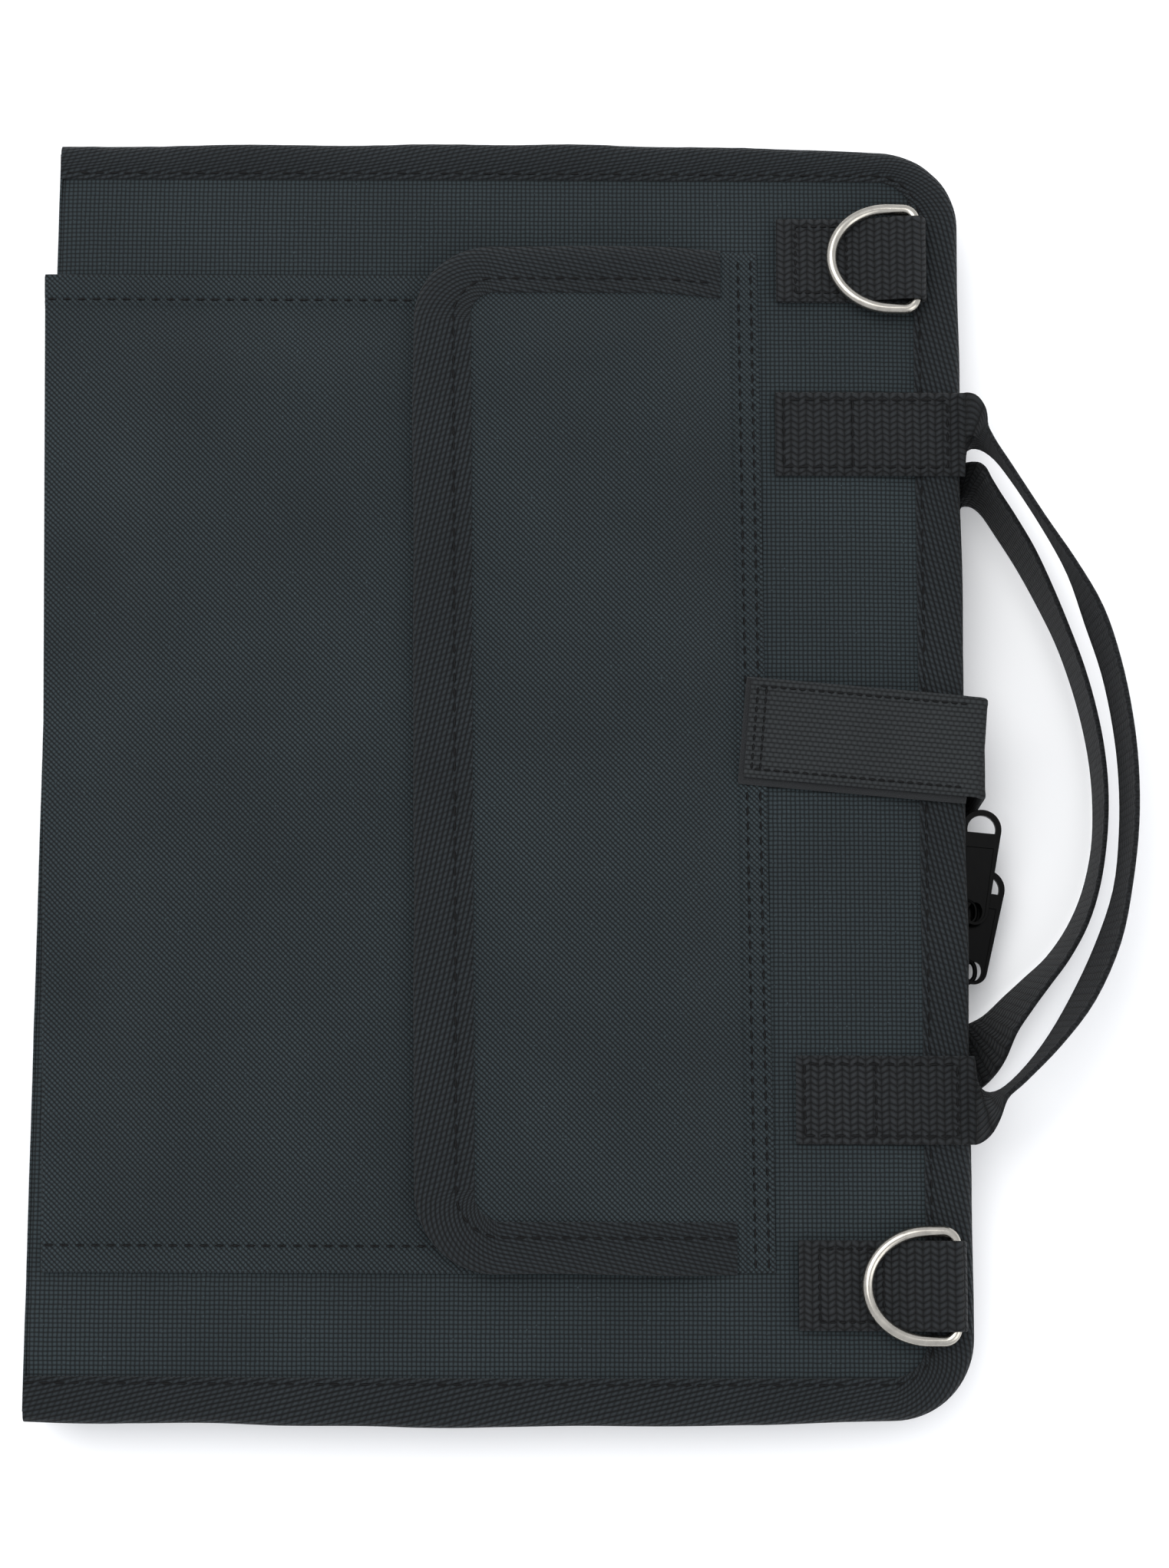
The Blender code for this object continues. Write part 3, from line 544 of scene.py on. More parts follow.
def woven(name, colour, weave, pitch, wobble=0.5, depth=0.16, gap_shade_ridge_highlight=(0.30, 1.35), sheen=0.05, lint=0.5):
    """Cloth whose thread heights come from weave(paint, across, along, pitch). Its colour holds painted shade
    in the gaps between threads and a painted highlight on their ridges.
    """
    paint = Paint(name, 0.86, sheen)
    across, along, chart = paint.cloth_place(wobble)
    height = weave(paint, across, along, pitch)
    uneven = paint.noise(chart, 2.1, 2.0)
    height = paint.math("MULTIPLY", height, paint.math("MULTIPLY_ADD", uneven, 0.7, 0.62))
    # Painted shade and highlight: the lowest threads get low times the colour as painted shade, the highest
    # get high times it as a painted highlight.
    low, high = gap_shade_ridge_highlight
    colours = paint.ramp(height, ((0.08, tint(colour, low)), (0.45, colour), (0.95, tint(colour, high))))
    patches = paint.noise(chart, 0.016, 4.0)
    patches = paint.ramp(patches, ((0.3, (0.84, 0.85, 0.86)), (0.7, (1.12, 1.12, 1.12))))
    colours = paint.mix(1.0, colours, patches, "MULTIPLY")
    specks = paint.noise(chart, 0.9, 1.0)
    fluff = paint.math("MULTIPLY", paint.math("GREATER_THAN", specks, 0.735), lint)
    colours = paint.mix(fluff, colours, (*tint(colour, 3.2), 1.0))
    rough = paint.math("MULTIPLY_ADD", uneven, 0.16, 0.76)
    paint.bump(height, depth)
    return paint.finish(colours, rough)


def square_weave(paint, across, along, pitch):
    """Thick threads one over one, which show as a grid of small pillows."""
    grid = paint.math("MULTIPLY", paint.wave(across, pitch), paint.wave(along, pitch))
    return paint.math("POWER", grid, 0.8)


def slanted_weave(paint, across, along, pitch):
    """The same cloth cut so that its threads show as ridges slanting down to the right."""
    ridge = paint.wave(paint.math("ADD", across, along), pitch)
    cut = paint.wave(paint.math("SUBTRACT", across, along), pitch)
    return paint.math("MULTIPLY", ridge, paint.math("MULTIPLY_ADD", cut, 0.7, 0.3))


def twill_weave(paint, across, along, pitch):
    """Twill tape: rows of dots along the tape, leaning a little."""
    row = paint.wave(paint.math("MULTIPLY_ADD", along, 0.24, across), pitch)
    dot = paint.wave(paint.math("MULTIPLY_ADD", across, 0.35, along), pitch * 1.2)
    return paint.math("MULTIPLY", row, paint.math("MULTIPLY_ADD", dot, 0.62, 0.38))


def strap_weave(paint, across, along, pitch):
    """Webbing: heavy ribs along the strap, stepped across like bricks."""
    rib = paint.wave(across, pitch)
    column = paint.math("FLOOR", paint.math("DIVIDE", across, pitch))
    step = paint.wave(paint.math("MULTIPLY_ADD", column, pitch * 0.62, along), pitch * 1.24)
    floats = paint.math("MULTIPLY_ADD", step, 0.6, 0.4)
    return paint.math("MULTIPLY", paint.math("POWER", rib, 0.6), floats)


def heavy_weave(paint, across, along, pitch):
    """Heavy webbing: thick floats in rows that zigzag along the strap."""
    zigzag = paint.math("PINGPONG", along, pitch * 1.2)
    row = paint.wave(paint.math("MULTIPLY_ADD", zigzag, 0.5, across), pitch)
    column = paint.wave(along, pitch * 1.2)
    return paint.math("MULTIPLY", paint.math("POWER", row, 0.8), paint.math("POWER", column, 0.55))


def pile(paint, across, along, pitch):
    """Hook and loop: a matted pile with no direction."""
    joined = paint.nodes.new("ShaderNodeCombineXYZ")
    paint.put(joined.inputs[0], across)
    paint.put(joined.inputs[1], along)
    return paint.noise(joined.outputs[0], 1.0 / pitch, 4.0)


def metal(name, colour, roughness, metallic, scratch_depth, gloss=0.3):
    """Plated or enamelled metal with fine scratches and worn patches."""
    paint = Paint(name, roughness)
    set_inputs(paint.shader, {"Metallic": metallic, "Specular IOR Level": gloss})
    place = paint.solid_place()
    stretched = paint.nodes.new("ShaderNodeMapping")
    set_inputs(stretched, {"Scale": (900.0, 160.0, 900.0)})
    paint.links.new(place, stretched.inputs["Vector"])
    scratches = paint.noise(stretched.outputs[0], 1.0, 4.0)
    worn = paint.noise(place, 260.0, 4.0)
    colours = paint.ramp(worn, ((0.3, tint(colour, 0.82)), (0.55, colour), (0.8, tint(colour, 1.12))))
    rough = paint.math("MULTIPLY_ADD", scratches, 0.1, roughness - 0.04)
    paint.bump(scratches, scratch_depth)
    return paint.finish(colours, rough)


def thread_material():
    """Bonded sewing thread, twisted, with a painted sheen on the ridges of its twist."""
    paint = Paint("sewing_thread", 0.7)
    across, along, _ = paint.cloth_place(0.1)
    twist = paint.wave(paint.math("ADD", across, along), 0.5)
    paint.bump(twist, 0.05)
    # Painted highlight: the twist's ridges go from black up to a lighter painted sheen.
    black, sheen = (0.0003, 0.0003, 0.0003), (0.0030, 0.0030, 0.0032)
    return paint.finish(paint.ramp(twist, ((0.1, black), (0.9, sheen))))


def make_materials():
    """Every material of the bag by name."""
    cover = (0.0143, 0.0200, 0.0222)
    tape = (0.0078, 0.0098, 0.0110)
    strap = (0.0090, 0.0100, 0.0108)
    closure = (0.0135, 0.0150, 0.0156)
    return {
        # In each woven cloth the pair of shares darkens the colour in the weave's gaps as painted shade and
        # lightens it on the ridges as a painted highlight; the lining and the pile use the default pair.
        "cover": woven("oxford_cover", cover, square_weave, 1.6, depth=0.3, gap_shade_ridge_highlight=(0.2, 1.75)),
        "pocket": woven("oxford_pocket", cover, slanted_weave, 1.9, depth=0.45, gap_shade_ridge_highlight=(0.12, 2.2)),
        "lining": woven("lining_cloth", (0.022, 0.023, 0.026), square_weave, 0.7, depth=0.05, sheen=0.15),
        "tape": woven("twill_tape", tape, twill_weave, 1.75, wobble=0.3, depth=0.5,
                      gap_shade_ridge_highlight=(0.1, 2.6), lint=0.3),
        "webbing": woven("strap_webbing", closure, strap_weave, 1.7, wobble=0.3, depth=0.36,
                         gap_shade_ridge_highlight=(0.2, 2.0), lint=0.3),
        "heavy": woven("handle_webbing", strap, heavy_weave, 2.3, wobble=0.8, depth=0.75,
                       gap_shade_ridge_highlight=(0.1, 2.3), lint=0.3),
        "fastener": woven("hook_and_loop_pile", (0.010, 0.011, 0.012), pile, 0.45, wobble=0.1, depth=0.5,
                          sheen=0.2),
        "thread": thread_material(),
        "coil": metal("nylon_coil", (0.005, 0.005, 0.0055), 0.42, 0.0, 0.02, 0.15),
        "enamel": metal("black_enamel", (0.0008, 0.0008, 0.0008), 0.2, 0.0, 0.004, 0.04),
        "nickel": metal("nickel_plate", (0.47, 0.445, 0.395), 0.24, 1.0, 0.003),
    }


# --- Covers ---

def cover_grid(step=5.5):
    """Rows of (x, y) over a cover, just inside its binding's outer edge."""
    x_high, y_reach, radius = (size - RIM_INSET for size in (HALF_WIDTH, HALF_LENGTH, CORNER_RADIUS))
    count = round(2 * y_reach / step)
    rows = []
    for x in steps_between(-HALF_WIDTH + SPINE_INSET, x_high, step):
        inside = max(x - (x_high - radius), 0.0)
        reach = y_reach - radius + math.sqrt(max(radius ** 2 - inside ** 2, 0.0))
        rows.append([(x, reach * (2 * place / count - 1)) for place in range(count + 1)])
    return rows


def binding_reach(x, y):
    """Distance in from the bound edges, counted in binding widths."""
    edge, low, high = BINDING_WIDTHS
    return min((HALF_WIDTH - x) / edge, (HALF_LENGTH + y) / low, (HALF_LENGTH - y) / high)


def swell(piece, held):
    """Let a short cloth simulation fill a closed pad out, holding some of its points."""
    cap = SWELL_CAP * MM
    scene = bpy.context.scene
    piece.vertex_groups.new(name="held").add(held, 1.0, "REPLACE")
    cloth = piece.modifiers.new("cloth", "CLOTH")
    cloth.settings.vertex_group_mass = "held"
    cloth.settings.quality = 4
    cloth.settings.use_pressure = True
    cloth.settings.uniform_pressure_force = SWELL_PRESSURE
    cloth.settings.effector_weights.gravity = 0.0
    cloth.collision_settings.use_collision = False
    cloth.point_cache.frame_start = 1
    cloth.point_cache.frame_end = SWELL_FRAMES
    for step in range(1, SWELL_FRAMES + 1):
        scene.frame_set(step)
    settled = piece.evaluated_get(bpy.context.evaluated_depsgraph_get())
    places = [vertex.co.copy() for vertex in settled.data.vertices]
    piece.modifiers.remove(cloth)
    scene.frame_set(1)
    for vertex, place in zip(piece.data.vertices, places):
        shift = place - vertex.co
        if shift.length > cap:
            shift *= cap / shift.length
        vertex.co += shift


def subdivide(piece):
    """Subdivide a mesh once, for good."""
    smooth = piece.modifiers.new("smooth", "SUBSURF")
    smooth.levels = 1
    smooth.render_levels = 1
    bake_modifiers(piece)


def bake_modifiers(piece):
    """Turn the modifiers' result into the piece's own mesh."""
    shown = piece.evaluated_get(bpy.context.evaluated_depsgraph_get())
    mesh = bpy.data.meshes.new_from_object(shown)
    piece.modifiers.clear()
    piece.data = mesh


def cover(name, body, low, high, rim_low, rim_high, limits, seats=()):
    """One padded cover. rim_low and rim_high are its faces under the binding, limits the lowest
    and highest it may swell to, and seats the places hollowed below for webbing: (from x, low y,
    high y)."""
    upper, lower, flat = [], [], []
    for row in cover_grid():
        tops, bottoms = [], []
        for x, y in row:
            inner = ease(binding_reach(x, y) - 0.95, 0.9)
            uneven = 0.3 * ripple(x, y, 62.0, 3.0) + 0.14 * ripple(x, y, 17.0, 7.0)
            tops.append(Vector((x, y, rim_high + (high - rim_high) * inner + uneven * inner)))
            bottom = rim_low + (low - rim_low) * inner
            for x_start, y_low, y_high in seats:
                if x > x_start and y_low < y < y_high:
                    bottom = SEAT_TOP
            bottoms.append(Vector((x, y, bottom)))
        upper.append(tops)
        lower.append(bottoms)
        flat.append(row)
    shape = sheet_shape(upper, flat, 0.0, lower)
    piece = make_piece(name, shape, "cover", None, name.replace("_pad", ""))
    held = [place for place, point in enumerate(shape[0])
            if binding_reach(point[0], point[1]) < 1.0 or point[0] < -HALF_WIDTH + 2.0
            or SEAT_HELD[0] < point[2] < SEAT_HELD[1]]
    swell(piece, held)
    for vertex in piece.data.vertices:
        vertex.co.z = min(max(vertex.co.z, limits[0] * MM), limits[1] * MM)
    subdivide(piece)
    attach(piece, body)


def make_covers():
    """The two padded covers, with room under the back one for the webbing sewn to it."""
    reach = HANDLE_WIDTH / 2 + 1.0
    seats = [(x - 1.0, y - reach, y + reach) for x, y in (REAR_TAB_HIGH, REAR_TAB_LOW)]
    seats.append((STRAP_SEWN_TO - 1.0, -22.0, 23.0))
    cover("front_cover_pad", "front_case", low=28.5, high=33.5, rim_low=28.6, rim_high=32.5,
          limits=(27.8, 34.25))
    cover("back_cover_pad", "back_case", low=0.5, high=5.6, rim_low=3.5, rim_high=5.7,
          limits=(0.05, 6.25), seats=seats)


def bowed(side, bow):
    """The short sides of the covers bow outwards a little."""
    middle = math.exp(-((side.x + 20.0) / 110.0) ** 2)
    share = ease(abs(side.inward_y), 1.0)
    far = -side.inward_y * share * (1.2 + bow * middle) * ease(150.0 - side.x, 60.0)
    return side._replace(y=side.y + far, width=side.width + abs(far) * 0.8)


def make_bindings():
    """Twill tape folded over the edge of each cover, with its stitches."""
    sides = bound_sides(-HALF_WIDTH + SPINE_INSET, HALF_WIDTH, -HALF_LENGTH, HALF_LENGTH, CORNER_RADIUS,
                        BINDING_WIDTHS, 2.4)
    sides = [bowed(side, 1.6) for side in sides]
    # label, section, its level, wander, pucker, seed, height of the stitches over the level, way out
    rows = (
        ("front", FRONT_BINDING, FRONT_BINDING_LEVEL, 0.8, 0.38, 0.0, -0.32, UP),
        ("back", BACK_BINDING, BACK_BINDING_LEVEL, 0.5, 0.12, 9.0, 0.25, -UP),
    )
    for label, relative, level, wander, pucker, seed, thread_z, up in rows:
        section = [(share, extra, level + z) for share, extra, z in relative]
        shape = tape_shape(sides, section, wander=wander, pucker=pucker, seed=seed)
        make_piece(f"{label}_binding_tape", shape, "tape", f"{label}_case", f"{label}_binding")
        line = side_line(sides, 1.0, -2.2, level + thread_z)
        stitches(f"{label}_binding_stitches", [line], f"{label}_case", up=up)


# --- Zip, spine and inside ---

def zip_bulge(side):
    """How far the zip is pushed out between its two sliders."""
    return 3.6 * math.exp(-((side.y + 66.0) / 20.0) ** 2) if side.x > 0 and side.inward_x < -0.9 else 0.0


def make_zip():
    """Zip tapes that wall in the bag and the two rows of coil between them."""
    sides = bound_sides(-HALF_WIDTH + 4.0, HALF_WIDTH, -HALF_LENGTH, HALF_LENGTH, CORNER_RADIUS,
                        (1.0, 1.0, 1.0), 2.4)
    sides = [side._replace(x=side.x + zip_bulge(side)) for side in sides]
    # label, body, sewn edge of the tape, its free edge, middle of the coil
    rows = (
        ("back", "back_case", BACK_TOP + 0.3, ZIP_MIDDLE - 0.65, ZIP_MIDDLE - 1.45),
        ("front", "front_case", FRONT_BOTTOM - 0.3, ZIP_MIDDLE + 0.65, ZIP_MIDDLE + 1.45),
    )
    for label, body, sewn, edge, coil_z in rows:
        middle = (sewn + edge) / 2
        section = (
            (0.0, 5.0, sewn), (0.0, 4.6, middle), (0.0, 4.7, edge + (edge - middle) * -0.3),
            (0.0, 5.0, edge), (0.0, 6.0, edge), (0.0, 5.7, middle), (0.0, 6.0, sewn),
        )
        shape = tape_shape(sides, section, wander=0.3, seed=2.0)
        make_piece(f"{label}_zip_cloth", shape, "tape", body, f"{label}_zip_tape")
        core = side_line(sides, 0.0, 3.9, coil_z)
        make_piece(f"{label}_zip_coil_teeth", coil_shape(core), "coil", body, f"{label}_zip_coil")


def coil_shape(core, radius=0.82, wire=0.36, pitch=1.5, turn_steps=8):
    """A wire wound round a line, as the teeth of a nylon zip, over a cord that fills it."""
    path = evenly(core, pitch / turn_steps)
    wound = []
    for place, point in enumerate(path):
        after = path[min(place + 1, len(path) - 1)]
        before = path[max(place - 1, 0)]
        tangent = (after - before).normalized()
        out = tangent.cross(UP).normalized()
        turn = 2 * math.pi * place / turn_steps
        wound.append(point + out * radius * math.cos(turn) + UP * (radius * math.sin(turn)))
    filling = tube(evenly(core, 2.0), radius * 0.75, 6)
    return join_shapes([tube(wound, wire, 5), filling])


def wall_shape(x, y_reach, low, high, thickness, bulge, seed):
    """An upright cloth wall that bows outwards."""
    rings = []
    heights = steps_between(low, high, 1.5)
    along = steps_between(-y_reach, y_reach, 5.0)
    for y in along:
        outer, inner = [], []
        for z in heights:
            share = math.sin(math.pi * (z - low) / (high - low))
            bow = share * (bulge + 0.25 * ripple(y, z, 34.0, seed)) + 0.1 * ripple(y, z, 9.0, seed)
            outer.append(Vector((x - bow, y, z)))
            inner.append(Vector((x - bow + thickness, y, z)))
        rings.append(outer + inner[::-1])
    across = [point.z for point in rings[0]] + [low]
    return sweep(rings, across, along)


def make_spine():
    """The spine wall, and the cloth that carries on from it into each cover."""
    low, high = BACK_TOP + 0.6, FRONT_BOTTOM - 0.6
    wall = wall_shape(-HALF_WIDTH + 0.5, SPINE_HALF_LENGTH, low, high, 2.2, 0.4, 1.0)
    make_piece("spine_wall", wall, "cover", "spine", "spine_panel")
    lining = wall_shape(-HALF_WIDTH + 3.6, SPINE_HALF_LENGTH - 4.0, low + 0.8, high - 0.8, 0.7, 0.0, 4.0)
    piece = make_piece("spine_inner_cloth", lining, "lining", "spine", "spine_lining")
    # label, two bodies, lowest and highest of the strip, and two heights between them
    joins = (
        ("low", "back_case", "spine", 1.0, 10.2, 4.6, 7.7),
        ("high", "spine", "front_case", 23.8, 33.2, 26.3, 29.4),
    )
    for label, first, second, bottom, top, start, end in joins:
        strip = wall_shape(-HALF_WIDTH - 0.1, SPINE_HALF_LENGTH + 3.0, bottom, top, 0.8, 0.35, 6.0)
        piece = make_piece(f"spine_join_{label}", strip, "cover")
        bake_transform(piece)
    for label, z in (("low", 9.1), ("high", 24.9)):
        line = [Vector((-HALF_WIDTH - 0.35, y, z))
                for y in steps_between(-SPINE_HALF_LENGTH, SPINE_HALF_LENGTH, 5)]
        stitches(f"spine_stitches_{label}", [line], "spine", up=Vector((-1.0, 0.0, 0.0)))


def on_surface(spots, height, lift=0.0):
    """Points over the places (x, y), on a surface whose height is height(x, y)."""
    return [Vector((x, y, height(x, y) + lift)) for x, y in spots]


def cloth_over(name, grid_points, height, thickness, look, body, replaces):
    """A sheet over a grid of (x, y), whose upper side follows height(x, y)."""
    grid = [on_surface(row, height) for row in grid_points]
    shape = sheet_shape(grid, grid_points, thickness)
    piece = make_piece(name, shape, look, body, *replaces)
    return piece


def make_linings():
    """Lining cloth on the inner face of each cover."""
    grid = [[(x * 0.975 + 1.0, y * 0.975) for x, y in row] for row in cover_grid(7.0)]
    rows = (("back", "back_case", BACK_TOP + 1.1), ("front", "front_case", FRONT_BOTTOM - 0.3))
    for label, body, top in rows:
        def height(x, y, top=top):
            return top + 0.08 * ripple(x, y, 40.0, 11.0)
        cloth_over(f"{label}_lining_cloth", grid, height, LINING_CLOTH, "lining", body,
                   (f"{label}_lining",))


def stick_pocket(label, body, compartments, mouth, face, way):
    """A row of stick compartments sewn to a lining, with a hem at its mouth."""
    half, bottom, room = 150.0, -212.0, 4.8
    width = 2 * half / compartments

    def height(x, y):
        seam = abs((x + half) / width - round((x + half) / width)) * width
        full = ease(seam, 13.0) * ease(y - bottom, 22.0)
        hem = 0.45 * ease(y - (mouth - 13.0), 1.5)
        crease = 0.3 * ripple(x, y, 26.0, 15.0) * full
        rise = 0.3 + room * full + crease * 0.6 + hem
        return face + way * rise + (CLOTH if way > 0 else 0.0)

    columns = steps_between(-half, half, 4.0)
    rows = steps_between(bottom, mouth, 5.0)
    grid = [[(x, y) for x in columns] for y in rows]
    cloth_over(f"{label}_stick_cloth", grid, height, CLOTH, "lining", body,
               (f"{label}_stick_pocket",))
    outside = 0.0 if way > 0 else -CLOTH
    lines = [on_surface([(x, mouth - 11.0) for x in columns], height, outside)]
    for seam in range(compartments + 1):
        x = -half + seam * width + (1.2 if seam == 0 else -1.2 if seam == compartments else 0.0)
        lines.append(on_surface([(x, y) for y in rows], height, outside))
    stitches(f"{label}_stick_stitches", lines, body, up=UP * way)


def make_inside():
    """Linings and the two rows of stick pockets."""
    make_linings()
    stick_pocket("back", "back_case", 3, 120.0, BACK_TOP + 1.1, 1.0)
    stick_pocket("front", "front_case", 2, 60.0, FRONT_BOTTOM - 1.1, -1.0)


# --- Pocket and flap ---

def graded(low, high, fine, coarse, band):
    """Values close together within a band at both ends and open between."""
    return (steps_between(low, low + band, fine) + steps_between(low + band, high - band, coarse)[1:-1]
            + steps_between(high - band, high, fine))


def pocket_height(x, y):
    """Upper side of the pocket cloth, with its two hems and the puckers of their seams."""
    left = POCKET_LEFT + POCKET_LEFT_SKEW * y
    nearest = min(POCKET_HIGH - y, y - POCKET_LOW)
    swell_share = ease(x - left - POCKET_HEM, POCKET_RISE) * ease(nearest - POCKET_HEM, POCKET_RISE)
    hem = 0.75 * (1.0 - ease(nearest - POCKET_HEM - 1.2, 1.4))
    seam = 0.5 * math.exp(-((nearest - POCKET_HEM) / 0.9) ** 2)
    pucker = 0.3 * ripple(x, 0.0, 9.0, 21.0) * math.exp(-((nearest - POCKET_HEM) / 9.0) ** 2)
    waves = (0.75 * ripple(x, y, 75.0, 23.0) + 0.3 * ripple(x, y, 28.0, 25.0)) * swell_share
    return FRONT_TOP + 0.3 + CLOTH + POCKET_ROOM * swell_share + hem - seam + pucker + waves


def make_pocket():
    """The outer pocket, hemmed along both ends and open under its flap."""
    columns = graded(0.0, 1.0, 0.006, 0.017, 0.06)
    grid = []
    for y in graded(POCKET_LOW, POCKET_HIGH, 0.8, 4.0, 14.0):
        left = POCKET_LEFT + POCKET_LEFT_SKEW * y
        mouth = POCKET_MOUTH + PATCH_SKEW * y
        grid.append([(left + (mouth - left) * share, y) for share in columns])
    cloth_over("pocket_cloth", grid, pocket_height, CLOTH, "pocket", "front_case",
               ("pocket_panel",))
    lines = []
    for y in (POCKET_HIGH - POCKET_HEM, POCKET_LOW + POCKET_HEM):
        across = steps_between(POCKET_LEFT + POCKET_LEFT_SKEW * y + 0.6, POCKET_MOUTH, 3.0)
        lines.append(on_surface([(x, y) for x in across], pocket_height))
    stitches("pocket_hem_stitches", lines, "front_case", pitch=5.4, length=3.2)


def flap_under(x, y):
    """Under side of the flap, which stands clear of the pocket and drops a little at its ends."""
    line = FLAP_LINE + PATCH_SKEW * y
    nearest = min(FLAP_HIGH - y, y - FLAP_LOW)
    room = FLAP_ROOM - 2.6 * (1.0 - ease(nearest, 40.0))
    return FRONT_TOP + 0.3 + room * ease(line - 0.3 - x, FLAP_RISE)


def flap_height(x, y):
    """Upper side of the flap, a little full between its seams."""
    line = FLAP_LINE + PATCH_SKEW * y
    if x > line:
        groove = 0.3 * sum(math.exp(-((x - line - past) / 0.8) ** 2) for past in FLAP_SEAMS)
        return FRONT_TOP + 0.3 + CLOTH + 0.3 - groove
    from_line = line - x
    from_edge = x - (FLAP_EDGE + PATCH_SKEW * y)
    from_end = min(FLAP_HIGH - y, y - FLAP_LOW)
    full = ease(from_line, 30.0) * ease(from_edge - 16.0, 26.0) * ease(from_end - 14.0, 30.0)
    pucker = 0.35 * ripple(y, 0.0, 11.0, 31.0) * math.exp(-(from_line / 9.0) ** 2)
    waves = 0.9 * ripple(x, y, 58.0, 33.0) + 0.3 * ripple(x, y, 21.0, 35.0)
    groove = 0.5 * math.exp(-(from_line / 1.2) ** 2)
    return flap_under(x, y) + CLOTH + full * (1.5 + waves) + pucker - groove


def hinge_flap(piece):
    """Bake the piece's placing into its mesh; the flap's smooth turn over its sewn line comes from
    flap_height and flap_under.
    """
    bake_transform(piece)


def make_flap():
    """The pocket flap with its binding, and the hem that sews it to the cover."""
    width = FLAP_LINE + FLAP_HEM - FLAP_EDGE
    drops = graded(0.0, width, 0.9, 4.0, 14.0)
    shares = graded(0.0, 1.0, 0.004, 0.012, 0.04)
    grid = []
    for drop in drops:
        inside = max(CORNER_RADIUS - drop, 0.0)
        short = CORNER_RADIUS - math.sqrt(CORNER_RADIUS ** 2 - inside ** 2)
        row = []
        for share in shares:
            low, high = FLAP_LOW + short, FLAP_HIGH - short
            y = low + (high - low) * share
            row.append((FLAP_EDGE + drop + PATCH_SKEW * y, y))
        grid.append(row)
    piece = cloth_over("flap_cloth", grid, flap_height, CLOTH, "pocket", None,
                       ("pocket_flap", "pocket_flap_hem"))
    hinge_flap(piece)
    sides = bound_sides(FLAP_LINE - 4.0, FLAP_EDGE, FLAP_LOW, FLAP_HIGH, CORNER_RADIUS, FLAP_BINDING_WIDTHS,
                        2.4, PATCH_SKEW)
    shape = tape_shape(sides, FLAP_BINDING, flap_under, wander=0.7, pucker=0.38, seed=13.0)
    hinge_flap(make_piece("flap_binding_tape", shape, "tape", None, "pocket_flap_binding"))
    hinge_flap(stitches("flap_binding_stitches", [side_line(sides, 0.68, 0.0, 1.7, flap_under)], None))
    lines = []
    for past in FLAP_SEAMS:
        along = steps_between(FLAP_LOW + 1.0, FLAP_HIGH - 1.0, 4.0)
        spots = [(FLAP_LINE + past + PATCH_SKEW * y, y) for y in along]
        lines.append(on_surface(spots, flap_height))
    stitches("flap_hem_stitches", lines, "front_case")


def pocket_patch(name, y_reach, top, body, node):
    """A sewn patch of hook or loop tape between the pocket and its flap."""
    x_low, x_high = PATCH_SIDES
    columns = steps_between(x_low, x_high, 2.0)
    grid = [[(x, y) for x in columns] for y in steps_between(-y_reach, y_reach, 3.0)]

    def height(x, y):
        return top + 0.12 * ripple(x, y, 5.0, 41.0)

    cloth_over(name, grid, height, PATCH_CLOTH, "fastener", body, (node,))


# --- Webbing ---

def strap_shape(stations, thickness):
    """Webbing with thick selvedges along stations of (centre, half width)."""
    rings = []
    centres = [centre for centre, _ in stations]
    for place, (centre, half) in enumerate(stations):
        before = centres[max(place - 1, 0)]
        after = centres[min(place + 1, len(centres) - 1)]
        normal = (after - before).cross(half).normalized() * thickness / 2
        face = [centre + half * across + normal * full for across, full in STRAP_SECTION]
        back = [centre + half * across - normal * full for across, full in reversed(STRAP_SECTION)]
        rings.append(face + back)
    width = stations[0][1].length
    across = [share * width for share, _ in STRAP_SECTION]
    return sweep(rings, across + across[::-1] + [-width], distances(centres))


def flat_strap(x_start, x_end, y, z, half_width):
    """Stations of a strap that runs straight along X."""
    half = Vector((0.0, half_width, 0.0))
    return [(Vector((x, y, z + 0.08 * ripple(x, y, 12.0, 51.0))), half)
            for x in steps_between(x_start, x_end, 3.0)]


def handle_stations(route):
    """Stations of a handle. Its route holds (x, y, z), then the azimuth and the lean of its width in
    degrees, and how much of its width shows where it is gathered."""
    stations = []
    for x, y, z, azimuth, lean, share in smooth_route(route, 4):
        level = math.cos(math.radians(lean))
        half = Vector((level * math.cos(math.radians(azimuth)), level * math.sin(math.radians(azimuth)),
                       math.sin(math.radians(lean)))) * HANDLE_WIDTH / 2 * share
        stations.append((Vector((x, y, z)), half))
    return stations


def box_line(x_low, x_high, y_low, y_high, z):
    """The outline of a box stitch."""
    corners = ((x_low, y_low), (x_high, y_low), (x_high, y_high), (x_low, y_high), (x_low, y_low))
    return [Vector((x, y, z)) for x, y in corners]


def handle(label, case, route, tabs, z):
    """A carrying handle: one strap, sewn down at both ends and free between."""
    (high_x, high_y), (low_x, low_y) = tabs
    half = HANDLE_WIDTH / 2
    first = flat_strap(high_x, HANDLE_START - 2.5, high_y, z, half)
    last = flat_strap(HANDLE_START - 2.5, low_x, low_y, z, -half)
    shape = strap_shape(first + handle_stations(route) + last, WEBBING_THICKNESS)
    nodes = [f"{label}_handle"] + [f"{label}_handle_tab_{end}" for end in ("high", "low")]
    piece = make_piece(f"{label}_handle_strap", shape, "heavy", None, *nodes)
    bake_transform(piece)
    outside = 1.0 if label == "front" else -1.0
    face = z + outside * (WEBBING_THICKNESS / 2 - 0.02)
    lines = []
    for x_start, y in tabs:
        y_low, y_high = y - half + BOX_MARGIN, y + half - BOX_MARGIN
        lines.append(box_line(x_start + BOX_MARGIN, HANDLE_SEWN_TO, y_low, y_high, face))
        lines.append([Vector((x_start + 28.0, side, face)) for side in (y_low, y_high)])
    stitches(f"{label}_handle_stitches", lines, case, up=UP * outside)


